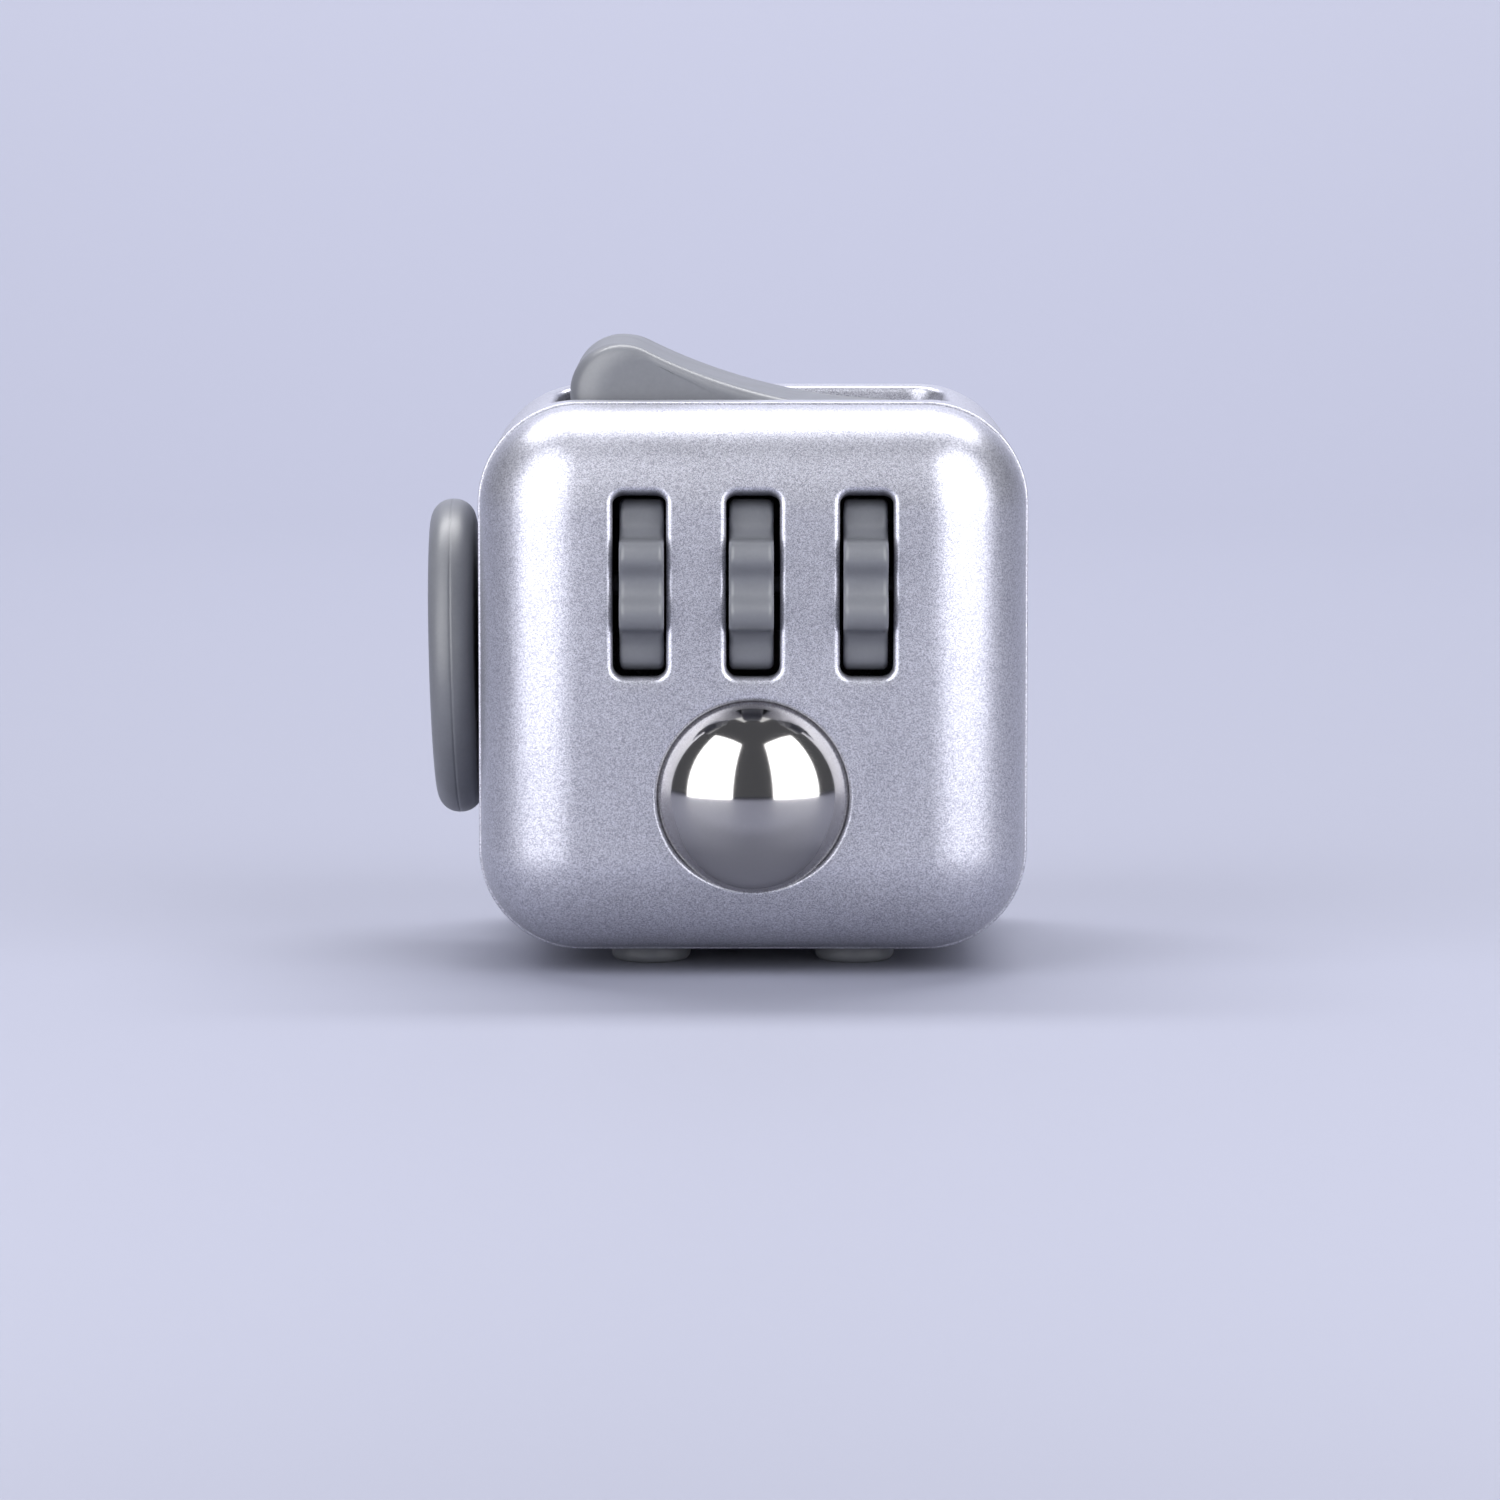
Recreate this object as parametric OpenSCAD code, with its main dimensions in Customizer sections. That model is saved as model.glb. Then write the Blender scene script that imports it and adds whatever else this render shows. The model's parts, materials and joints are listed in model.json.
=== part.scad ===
// Desk fidget cube: a rounded plastic cube with a different toy on each of its six sides.
//   front (-Y)  three toothed wheels on one axle, and a steel ball that rolls and clicks
//   left (-X)   gliding pad that slides off centre and springs back
//   top (+Z)    rocker switch
//   right (+X)  worry dish for the thumb
//   bottom (-Z) five click buttons, which the cube stands on
//   back (+Y)   spinning dial
// The origin is the tip of the centre click button, in the plane that the cube stands on.

/* [Body] */
// Length of the cube's edge
cube_size = 33; // [32.8:0.1:33.4]
// Radius of the cube's rounded edges and corners
corner_r = 6.1; // [5.8:0.1:6.4]
// Thickness of the shell's walls
wall = 1.8; // [1.7:0.05:1.9]
// Depth of the front and rear caps, from the face to the parting seam
cap_depth = 5.8; // [5.6:0.1:6]
// How far the caps stand inside the four-sided middle band
cap_inset = 0.12; // [0.05:0.01:0.2]

/* [Wheels] */
// Distance between neighbouring wheel slots
wheel_pitch = 6.74; // [6.7:0.02:6.8]
// Radius of a wheel at its tooth tips
wheel_r = 5.4; // [5.3:0.05:5.4]
// Thickness of a wheel
wheel_w = 2.65; // [2.3:0.05:2.7]
// Number of teeth on a wheel
wheel_teeth = 8; // [7:1:9]
// Depth of the wheel axle behind the front face
wheel_depth = 3.8; // [3.7:0.05:3.9]
// Height of the wheel axle above the cube's centre
wheel_up = 5.8; // [5.7:0.05:5.85]

/* [Ball] */
// Radius of the steel ball
ball_r = 6.35; // [6.3:0.01:6.35]
// Depth of the ball's centre behind the front face
ball_depth = 3; // [2.9:0.05:3.1]
// Height of the ball's centre below the cube's centre
ball_down = 6.6; // [6.5:0.05:6.7]
// How far the ball can be pressed in
ball_travel = 0.8; // [0.5:0.1:0.8]

/* [Glide pad] */
// Radius of the gliding pad
pad_r = 9.65; // [9:0.05:10]
// Thickness of the gliding pad
pad_t = 2.85; // [2.4:0.05:3]
// How far the pad slides off centre each way
pad_travel = 2; // [1.5:0.1:2]
// Height of the pad's middle above the cube's centre
pad_up = 0.35; // [0:0.05:0.35]

/* [Flip switch] */
// Half the rocker's length
rocker_half = 11.4; // [11:0.1:11.5]
// Width of the rocker
rocker_w = 15; // [14:0.1:15]
// Angle that the rocker rests at, to either side of level
rocker_tilt = 14.2; // [12:0.1:14.5]

/* [Click buttons] */
// Radius of a click button
button_r = 2.4; // [2.2:0.05:2.5]
// Distance of the four outer buttons from the middle, along each side of the square
button_pos = 6.2; // [6:0.1:6.4]
// How far a button stands out of the bottom face, and how far it can be pressed
button_out = 1.2; // [1:0.05:1.2]

/* [Dial] */
// Radius of the spinning dial
dial_r = 8.8; // [8:0.1:9.5]
// Thickness of the dial's disc
dial_t = 2.2; // [1.8:0.1:2.6]

/* [Hidden] */

$fn = 48;
silver = [0.66, 0.67, 0.71];
grey = [0.5, 0.51, 0.52];
dark = [0.16, 0.16, 0.17];
steel = [0.72, 0.73, 0.75];

half = cube_size / 2;
centre_z = half + button_out;
inner = half - wall;
fit = 0.05;        // radial clearance of a running fit
snug = 0.02;       // radial clearance of a fixed pin or screw
gap = 0.1;         // clearance between neighbouring parts
seam_y = half - cap_depth;

screw_r = 0.45;
screw_head_r = 0.9;
screw_head_t = 0.5;
screw_bite = 1;    // how far a screw reaches into the shell's wall
tip = inner + screw_bite;

post = 12.4;       // distance of the corner posts from the middle, along both sides
post_r = 1.9;
peg_r = 1;
peg_end = half - 2.4;

slot_w = 3.2;
slot_h = 11.1;
slot_up = 6;
slot_r = 0.7;
wheel_y = -half + wheel_depth;
wheel_root_r = 4.4;
tooth_r = 1.2;
wheel_turn = 3;     // angle that the wheels have been turned by
axle_r = 0.75;
axle_half = 10.9;
frame_x = 10.3;
frame_low = wheel_up - 3;
frame_high = wheel_up + 3;
frame_back = wheel_y + wheel_r + 0.25;
bar_t = 1;
comb_y = frame_back + bar_t;
comb_t = 0.3;
finger_r = 0.35;
finger_z = wheel_up - 3.25;
finger_y = wheel_y + sqrt(pow(wheel_r + finger_r + 0.12, 2) - pow(wheel_up - finger_z, 2));
frame_screw_x = 9.35;
frame_screw_up = 2;
wheel_x = [-wheel_pitch + 0.14, -0.1, wheel_pitch - 0.06];
slot_x = [-wheel_pitch, 0, wheel_pitch];

ball_y = -half + ball_depth;
ball_z = -ball_down;
ball_hole_r = 5.7;
ball_ring_r = 7;
cup_r = 4;
cup_front = ball_y + 5.1;
cup_back = ball_y + 7.4;
cup_stem_r = 1.2;
cup_stem_end = -2;
bracket_front = -3.4;
bracket_t = 1;
arm_in = ball_ring_r + 0.15;
arm_out = arm_in + 1.5;
lug_x = arm_out + 1.2;
lug_t = 1.2;

pad_gap = 0.35;
pad_droop = 1.4;    // angle that the pad hangs out of square on its spring
pad_in = -half - pad_gap;
stem_r = 1.7;
aperture_r = stem_r + pad_travel * sqrt(2) + gap;
slider_half = 4;
slider_out = -inner + gap;
slider_t = 1.6;
slider_in = slider_out + slider_t;
carriage_y = slider_half + pad_travel + 1.2;
carriage_z = slider_half + 1.2;
cage_in = carriage_y + fit;
cage_out = cage_in + 1.35;
cage_back = slider_in + gap + 0.8;
sheet_t = 0.3;
sheet_in = cage_back + 0.1 + sheet_t;
sheet_hole = 7;
glide_boss_r = 1.6;
glide_screw_r = 0.6;
cage_screw = 7.95;

dish_length = 20;
dish_width = 15;
dish_depth = 2.2;
dish_back = 1.2;

pivot_z = half - 2;
lobe_r = 3;
lobe_x = rocker_half - lobe_r;
lobe_z = 0.3;
saddle_z = 2.42;
saddle_rise = saddle_z - lobe_z;
saddle_r = (lobe_x * lobe_x + saddle_rise * saddle_rise - lobe_r * lobe_r) / (2 * (lobe_r - saddle_rise));
rocker_under = -1.6;
rocker_corner_r = 1.7;
pin_r = 0.8;
well_left = -rocker_half - 0.8;
well_right = rocker_half + 0.5;
well_y = rocker_w / 2 + 0.15;
well_r = 2.4;
cradle_wall = 0.7;
cradle_floor = 10;
cradle_low = 9.4;
cradle_lug_x = 7.7;
cradle_lug_y = 9.5;

flange_r = 3.1;
flange_t = 0.7;
flange_top = -inner + 0.05 + flange_t;
button_stem_r = 0.9;
plate_low = -11.6;
plate_t = 0.7;
plate_half = 9.9;
plate_boss = 8.6;
button_xy = [[0, 0], [-1, -1], [1, -1], [-1, 1], [1, 1]] * button_pos;

shaft_r = 2.5;
shaft_end = half - 3.5;
boss_end = shaft_end + 0.2;
dial_in = half + 0.3;
washer_t = 0.8;
dial_screw_r = 0.8;

// ---- shapes that repeat ----

// Box between two corners
module box(low, high) {
    translate(low)
        cube(high - low);
}

// Cylinders along X, Y and Z, between two stations
module rod_x(r, x0, x1, y, z) {
    translate([x0, y, z])
        rotate([0, 90, 0])
            cylinder(r = r, h = x1 - x0);
}

module rod_y(r, y0, y1, x, z) {
    translate([x, y0, z])
        rotate([-90, 0, 0])
            cylinder(r = r, h = y1 - y0);
}

module rod_z(r, z0, z1, x, y) {
    translate([x, y, z0])
        cylinder(r = r, h = z1 - z0);
}

// Block with every edge and corner rounded, centred on the origin
module rounded_block(size, r) {
    at = size / 2 - [r, r, r];
    hull() {
        for (x = [-1, 1], y = [-1, 1], z = [-1, 1])
            translate([x * at.x, y * at.y, z * at.z])
                sphere(r = r, $fn = 32);
        for (side = [[r, 0, 0], [0, r, 0], [0, 0, r]])
            box(-at - side, at + side);
    }
}

// Flat rectangle with rounded corners
module rounded_rect(size, r) {
    offset(r = r, $fn = 32)
        square([size.x - 2 * r, size.y - 2 * r], center = true);
}

// Copies at all four corners of a rectangle
module corners(x, y) {
    for (i = [-1, 1], j = [-1, 1])
        translate([i * x, j * y, 0])
            children();
}

// Screws whose heads lie at the given station, one shape for all four axes of use
module screw_x(head, end, y, z) {
    side = sign(head - end);
    rod_x(screw_r, min(head, end), max(head, end), y, z);
    rod_x(screw_head_r, min(head, head + side * screw_head_t), max(head, head + side * screw_head_t), y, z);
}

module screw_y(head, end, x, z) {
    rod_y(screw_r, min(head, end), max(head, end), x, z);
    rod_y(screw_head_r, head, head + screw_head_t, x, z);
}

module screw_z(head, end, x, y) {
    side = sign(head - end);
    rod_z(screw_r, min(head, end), max(head, end), x, y);
    rod_z(screw_head_r, min(head, head + side * screw_head_t), max(head, head + side * screw_head_t), x, y);
}

// Helical spring along Z, from the plane z0 to the plane z1
module coil_spring(coil_r, wire_r, turns, z0, z1) {
    ring = 6;
    steps = 12 * turns;
    pitch = (z1 - z0 - 2 * wire_r) / steps;
    points = [
        for (i = [0 : steps], k = [0 : ring - 1])
            let (a = 30 * i, b = 360 * k / ring, r = coil_r + wire_r * cos(b))
            [r * cos(a), r * sin(a), z0 + wire_r + i * pitch + wire_r * sin(b)]
    ];
    sides = [
        for (i = [0 : steps - 1], k = [0 : ring - 1])
            let (n = (k + 1) % ring)
            [i * ring + k, i * ring + n, (i + 1) * ring + n, (i + 1) * ring + k]
    ];
    first = [for (k = [ring - 1 : -1 : 0]) k];
    last = [for (k = [0 : ring - 1]) steps * ring + k];
    polyhedron(points, concat(sides, [first], [last]));
}

// Moves a shape drawn about the cube's centre to its place above the resting plane
module on_centre() {
    translate([0, 0, centre_z])
        children();
}

// The same for the gliding pad and the parts behind it
module on_pad_centre() {
    translate([0, 0, centre_z + pad_up])
        children();
}

// ---- body ----

// Hollow of a cap: straight at the seam, and narrower towards the face
module cap_hollow() {
    taper = 2.2;
    hull() {
        translate([0, -seam_y + 1, 0])
            rotate([90, 0, 0])
                linear_extrude(1.8)
                    rounded_rect([2 * inner, 2 * inner], corner_r - wall);
        translate([0, -inner + 0.1, 0])
            rotate([90, 0, 0])
                linear_extrude(0.1)
                    rounded_rect([2 * (inner - taper), 2 * (inner - taper)], taper);
    }
}

// Hollow end cap at the front, with a post in each corner; the rear one is its mirror image
module cap_blank() {
    difference() {
        intersection() {
            rounded_block([cube_size - 2 * cap_inset, cube_size, cube_size - 2 * cap_inset], corner_r);
            box([-half - 1, -half - 1, -half - 1], [half + 1, -seam_y - gap / 2, half + 1]);
        }
        difference() {
            cap_hollow();
            for (x = [-post, post], z = [-post, post])
                rod_y(post_r, -half, -seam_y + 2, x, z);
        }
    }
}

module cap_peg_holes() {
    for (x = [-post, post], z = [-post, post])
        rod_y(peg_r + snug, -peg_end - gap, -seam_y, x, z);
}

module front_shell() {
    color(silver)
        on_centre()
            difference() {
                union() {
                    cap_blank();
                    rod_y(ball_ring_r, -inner - gap, -seam_y - gap / 2, 0, ball_z);
                }
                cap_peg_holes();
                for (x = slot_x)
                    translate([x, -inner + 1, slot_up])
                        rotate([90, 0, 0])
                            linear_extrude(wall + 2)
                                rounded_rect([slot_w, slot_h], slot_r);
                for (x = slot_x)
                    rod_x(wheel_r + 0.25, x - slot_w / 2, x + slot_w / 2, wheel_y, wheel_up);
                rod_y(ball_hole_r, -half - 1, ball_y, 0, ball_z);
                translate([0, ball_y, ball_z])
                    sphere(r = ball_r + 0.03);
                rod_y(ball_r + gap, ball_y, -seam_y, 0, ball_z);
                for (x = [-1, 1], z = [-1, 1])
                    rod_y(screw_r + snug, -tip - gap, -inner + gap, x * frame_screw_x, wheel_up + z * frame_screw_up);
                for (x = [-lug_x, lug_x])
                    rod_y(screw_r + snug, -tip - gap, -inner + gap, x, ball_z);
            }
}

// Tool that hollows out the worry dish: an oval hollow with a different curve along each side
module dish_tool() {
    long_r = (pow(dish_length / 2, 2) + pow(dish_depth, 2)) / (2 * dish_depth);
    short_r = (pow(dish_width / 2, 2) + pow(dish_depth, 2)) / (2 * dish_depth);
    translate([half - dish_depth + long_r, 0, 0])
        rotate([90, 0, 0])
            rotate_extrude($fn = 96)
                intersection() {
                    translate([long_r - short_r, 0])
                        circle(r = short_r, $fn = 96);
                    translate([0, -short_r])
                        square([long_r, 2 * short_r]);
                }
}

module middle_shell() {
    color(silver)
        on_centre()
            difference() {
                union() {
                    difference() {
                        intersection() {
                            rounded_block([cube_size, cube_size, cube_size], corner_r);
                            box([-half - 1, -seam_y + gap / 2, -half - 1], [half + 1, seam_y - gap / 2, half + 1]);
                        }
                        translate([0, seam_y + 1, 0])
                            rotate([90, 0, 0])
                                linear_extrude(2 * seam_y + 2)
                                    rounded_rect([2 * inner, 2 * inner], corner_r - wall);
                    }
                    for (x = [-post, post], z = [-post, post], s = [0, 1])
                        mirror([0, s, 0]) {
                            rod_y(post_r, -seam_y + gap / 2, -seam_y + 1.5, x, z);
                            rod_y(peg_r, -peg_end, -seam_y + 1.5, x, z);
                        }
                    rod_x(8.6, half - dish_depth - dish_back, inner + gap, 0, 0);
                    for (p = [[-plate_boss, 0], [plate_boss, 0], [0, plate_boss]])
                        rod_z(1.6, -inner - gap, plate_low, p.x, p.y);
                }
                dish_tool();
                rod_x(aperture_r, -half - 1, -inner + 1, 0, pad_up);
                for (y = [-cage_screw, cage_screw], z = [-cage_screw, cage_screw])
                    rod_x(screw_r + snug, -tip - gap, -inner + gap, y, z + pad_up);
                translate([(well_left + well_right) / 2, 0, inner - 1])
                    linear_extrude(wall + 2)
                        rounded_rect([well_right - well_left, 2 * well_y], well_r);
                rod_y(pin_r + snug, -well_y - 1.1, well_y + 1.1, 0, pivot_z);
                corners(cradle_lug_x, cradle_lug_y)
                    rod_z(screw_r + snug, inner - gap, tip + gap, 0, 0);
                for (p = button_xy)
                    rod_z(button_r + fit, -half - 1, -inner + 0.5, p.x, p.y);
                for (p = [[-plate_boss, 0], [plate_boss, 0], [0, plate_boss]])
                    rod_z(screw_r + snug, plate_low - 2.6, plate_low + gap, p.x, p.y);
            }
}

module rear_shell() {
    color(silver)
        on_centre()
            difference() {
                union() {
                    mirror([0, 1, 0])
                        cap_blank();
                    rod_y(4.2, boss_end, inner + gap, 0, 0);
                }
                mirror([0, 1, 0])
                    cap_peg_holes();
                rod_y(shaft_r + fit, boss_end - 1, half + 1, 0, 0);
            }
}

// ---- toothed wheels ----

// Wheel with soft rounded teeth; a gap between two teeth faces forwards
module toothed_wheel(x) {
    color(grey)
        on_centre()
            translate([x + wheel_w / 2, wheel_y, wheel_up])
                rotate([0, -90, 0])
                    difference() {
                        linear_extrude(wheel_w)
                            union() {
                                circle(r = wheel_root_r);
                                for (i = [0 : wheel_teeth - 1])
                                    rotate((i + 0.5) * 360 / wheel_teeth + wheel_turn)
                                        translate([wheel_r - tooth_r, 0])
                                            circle(r = tooth_r);
                            }
                        translate([0, 0, -1])
                            cylinder(r = axle_r + fit, h = wheel_w + 2);
                    }
}

module wheel_axle() {
    color(steel)
        on_centre()
            rod_x(axle_r, -axle_half, axle_half, wheel_y, wheel_up);
}

module wheel_frame() {
    web = (wheel_pitch - slot_w) / 2;
    color(dark)
        on_centre()
            difference() {
                union() {
                    for (x = [-wheel_pitch / 2, wheel_pitch / 2])
                        box([x - web, -inner + gap, frame_low], [x + web, frame_back + gap, frame_high]);
                    for (s = [0, 1])
                        mirror([s, 0, 0])
                            box(
                                [wheel_pitch + slot_w / 2, -inner + gap, frame_low],
                                [frame_x, frame_back + gap, frame_high]
                            );
                    box([-frame_x, frame_back, frame_low], [frame_x, frame_back + bar_t, frame_high]);
                }
                rod_x(axle_r + snug, -frame_x - 1, frame_x + 1, wheel_y, wheel_up);
                for (x = [-1, 1], z = [-1, 1])
                    rod_y(screw_r + snug, -inner, comb_y + 1, x * frame_screw_x, wheel_up + z * frame_screw_up);
            }
}

// Comb of three leaf fingers, one under the back of each wheel
module wheel_spring() {
    color(steel)
        on_centre()
            difference() {
                union() {
                    box([-frame_x, comb_y, finger_z - comb_t / 2], [frame_x, comb_y + comb_t, frame_high - 0.4]);
                    for (x = wheel_x) {
                        box(
                            [x - 0.8, finger_y, finger_z - comb_t / 2],
                            [x + 0.8, comb_y + comb_t, finger_z + comb_t / 2]
                        );
                        rod_x(finger_r, x - 0.8, x + 0.8, finger_y, finger_z);
                    }
                }
                for (x = [-1, 1], z = [-1, 1])
                    rod_y(screw_r + snug, comb_y - 1, comb_y + 1, x * frame_screw_x, wheel_up + z * frame_screw_up);
            }
}

module wheel_frame_screws() {
    color(steel)
        on_centre()
            for (x = [-1, 1], z = [-1, 1])
                screw_y(comb_y + comb_t, -tip, x * frame_screw_x, wheel_up + z * frame_screw_up);
}

// ---- ball ----

module ball() {
    color(steel)
        on_centre()
            translate([0, ball_y, ball_z])
                sphere(r = ball_r);
}

module ball_cup() {
    color(dark)
        on_centre()
            difference() {
                union() {
                    rod_y(cup_r, cup_front, cup_back, 0, ball_z);
                    rod_y(cup_stem_r, cup_back - gap, cup_stem_end, 0, ball_z);
                }
                translate([0, ball_y, ball_z])
                    sphere(r = ball_r + 0.03);
            }
}

module ball_spring() {
    color(steel)
        on_centre()
            translate([0, 0, ball_z])
                rotate([-90, 0, 0])
                    coil_spring(2.2, 0.2, 3, cup_back, bracket_front);
}

// Yoke behind the ball, with an arm on each side that reaches the front wall
module ball_bracket() {
    color(dark)
        on_centre()
            translate([0, 0, ball_z])
                difference() {
                    union() {
                        box([-arm_out, bracket_front, -3], [arm_out, bracket_front + bracket_t, 3]);
                        for (s = [0, 1])
                            mirror([s, 0, 0]) {
                                box([arm_in, -inner + gap, -2], [arm_out, bracket_front + gap, 2]);
                                box([arm_out - gap, -inner + gap, -2], [lug_x + 1.2, -inner + gap + lug_t, 2]);
                            }
                    }
                    rod_y(cup_stem_r + fit, bracket_front - 1, 0, 0, 0);
                    for (x = [-lug_x, lug_x])
                        rod_y(screw_r + snug, -inner, -inner + 2, x, 0);
                }
}

module ball_bracket_screws() {
    color(steel)
        on_centre()
            for (x = [-lug_x, lug_x])
                screw_y(-inner + gap + lug_t, -tip, x, ball_z);
}

// ---- gliding pad ----

module glide_pad() {
    rim = 1.3;
    color(grey)
        on_pad_centre()
            difference() {
                union() {
                    translate([pad_in, 0, 0])
                        rotate([0, 90 - pad_droop, 0])
                            rotate_extrude($fn = 96) {
                                translate([0, -pad_t])
                                    square([pad_r - rim, pad_t]);
                                translate([0, rim - pad_t])
                                    square([pad_r, pad_t - 2 * rim]);
                                for (h = [rim - pad_t, -rim])
                                    translate([pad_r - rim, h])
                                        circle(r = rim);
                            }
                    rod_x(stem_r, pad_in - 0.5, slider_out, 0, 0);
                }
                rod_x(glide_screw_r + snug, pad_in - 1, 0, 0, 0);
            }
}

module glide_slider() {
    color(dark)
        on_pad_centre()
            difference() {
                union() {
                    box([slider_out, -slider_half, -slider_half], [slider_in, slider_half, slider_half]);
                    rod_x(glide_boss_r, slider_in - gap, sheet_in - sheet_t, 0, 0);
                }
                rod_x(glide_screw_r + snug, slider_out - 1, 0, 0, 0);
            }
}

module glide_screw() {
    color(steel)
        on_pad_centre() {
            rod_x(glide_screw_r, pad_in - 0.8, sheet_in, 0, 0);
            rod_x(1.3, sheet_in, sheet_in + 0.6, 0, 0);
        }
}

// Frame that runs up and down in the retainer, while the slider runs sideways in its window
module glide_carriage() {
    window_y = slider_half + pad_travel + fit;
    window_z = slider_half + fit;
    color(grey)
        on_pad_centre()
            difference() {
                box([slider_out, -carriage_y, -carriage_z], [slider_in, carriage_y, carriage_z]);
                box([slider_out - 1, -window_y, -window_z], [slider_in + 1, window_y, window_z]);
            }
}

module glide_retainer() {
    color(dark)
        on_pad_centre()
            difference() {
                box([slider_out, -cage_out, -cage_out], [cage_back, cage_out, cage_out]);
                box([slider_out - 1, -cage_in, -cage_in], [slider_in + gap, cage_in, cage_in]);
                rod_x(glide_boss_r + pad_travel * sqrt(2) + gap, slider_in, cage_back + 1, 0, 0);
                for (y = [-cage_screw, cage_screw], z = [-cage_screw, cage_screw])
                    rod_x(screw_r + snug, slider_out - 1, cage_back + 1, y, z);
            }
}

// Flat sheet spring: a square frame, a hub, and three arms that curl from one to the other
module glide_spring() {
    hub_r = 1.9;
    arm_r = (sheet_hole + hub_r) / 2;
    arm_w = 0.7;
    color(steel)
        on_pad_centre()
            translate([sheet_in - sheet_t, 0, 0])
                rotate([0, 90, 0])
                    linear_extrude(sheet_t) {
                        difference() {
                            square(2 * cage_out, center = true);
                            circle(r = sheet_hole);
                            corners(cage_screw, cage_screw)
                                circle(r = screw_r + snug);
                        }
                        difference() {
                            circle(r = hub_r);
                            circle(r = glide_screw_r + snug);
                        }
                        for (i = [0 : 2])
                            rotate(120 * i)
                                translate([(sheet_hole - hub_r) / 2, 0])
                                    intersection() {
                                        difference() {
                                            circle(r = arm_r + arm_w / 2);
                                            circle(r = arm_r - arm_w / 2);
                                        }
                                        translate([-2 * arm_r, 0])
                                            square([4 * arm_r, 2 * arm_r]);
                                    }
                    }
}

module glide_retainer_screws() {
    color(steel)
        on_pad_centre()
            for (y = [-cage_screw, cage_screw], z = [-cage_screw, cage_screw])
                screw_x(sheet_in, -tip, y, z);
}

// ---- flip switch ----

// Side view of the rocker, level, with its pivot at the origin
module rocker_profile() {
    difference() {
        union() {
            translate([-lobe_x, rocker_under])
                square([2 * lobe_x, lobe_z + lobe_r - rocker_under]);
            for (x = [-lobe_x, lobe_x])
                translate([x, lobe_z])
                    circle(r = lobe_r, $fn = 64);
        }
        translate([0, saddle_z + saddle_r])
            circle(r = saddle_r, $fn = 256);
        translate([-rocker_half, rocker_under - 3])
            square([2 * rocker_half, 3]);
    }
}

module flip_rocker() {
    nose_r = 0.6;
    nose_z = -2.6;
    skin = 1.3;
    color(grey)
        on_centre()
            translate([0, 0, pivot_z])
                rotate([0, rocker_tilt, 0])
                    difference() {
                        union() {
                            intersection() {
                                translate([0, rocker_w / 2, 0])
                                    rotate([90, 0, 0])
                                        linear_extrude(rocker_w)
                                            rocker_profile();
                                translate([0, 0, -6])
                                    linear_extrude(12)
                                        rounded_rect([2 * rocker_half, rocker_w], rocker_corner_r);
                            }
                            box([-nose_r, -2.5, nose_z], [nose_r, 2.5, rocker_under + gap]);
                            rod_y(nose_r, -2.5, 2.5, 0, nose_z);
                        }
                        rod_y(pin_r + fit, -rocker_w, rocker_w, 0, 0);
                        for (s = [0, 1])
                            mirror([s, 0, 0])
                                box(
                                    [2.4, -rocker_w / 2 + skin, -3],
                                    [rocker_half - 2.6, rocker_w / 2 - skin, saddle_z - skin]
                                );
                    }
}

module flip_pin() {
    color(steel)
        on_centre()
            rod_y(pin_r, -well_y - 1, well_y + 1, 0, pivot_z);
}

module flip_cradle() {
    length = well_right - well_left;
    top = inner - gap;
    color(dark)
        on_centre()
            difference() {
                intersection() {
                    union() {
                        translate([(well_left + well_right) / 2, 0, cradle_low])
                            linear_extrude(top - cradle_low)
                                rounded_rect(
                                    [length + 2 * cradle_wall, 2 * (well_y + cradle_wall)],
                                    well_r + cradle_wall
                                );
                        for (s = [0, 1])
                            mirror([0, s, 0])
                                box(
                                    [-cradle_lug_x - 1.2, well_y, top - 1.2],
                                    [cradle_lug_x + 1.2, cradle_lug_y + 1, top]
                                );
                    }
                    translate([0, inner, 0])
                        rotate([90, 0, 0])
                            linear_extrude(2 * inner)
                                rounded_rect([2 * top, 2 * top], corner_r - wall - gap);
                }
                translate([(well_left + well_right) / 2, 0, cradle_floor])
                    linear_extrude(half)
                        rounded_rect([length, 2 * well_y], well_r);
                rod_y(pin_r + snug, -well_y - 1.1, well_y + 1.1, 0, pivot_z);
                box([-pin_r - snug, -well_y - 1.1, pivot_z], [pin_r + snug, well_y + 1.1, half]);
                corners(cradle_lug_x, cradle_lug_y)
                    rod_z(screw_r + snug, top - 2, top + 1, 0, 0);
            }
}

// Arched leaf under the rocker's nose
module flip_spring() {
    foot = cradle_floor;
    crown = pivot_z - 3.3;
    leaf_t = 0.25;
    color(steel)
        on_centre()
            translate([0, 2.5, 0])
                rotate([90, 0, 0])
                    linear_extrude(5)
                        polygon([
                            [-7, foot], [-5, foot], [-1.6, crown - 2 * leaf_t], [0, crown - leaf_t],
                            [1.6, crown - 2 * leaf_t], [5, foot], [7, foot],
                            [7, foot + leaf_t], [5, foot + leaf_t], [1.6, crown - leaf_t], [0, crown],
                            [-1.6, crown - leaf_t], [-5, foot + leaf_t], [-7, foot + leaf_t]
                        ]);
}

module flip_cradle_screws() {
    color(steel)
        on_centre()
            corners(cradle_lug_x, cradle_lug_y)
                screw_z(inner - gap - 1.2, tip, 0, 0);
}

// ---- click buttons ----

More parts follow.
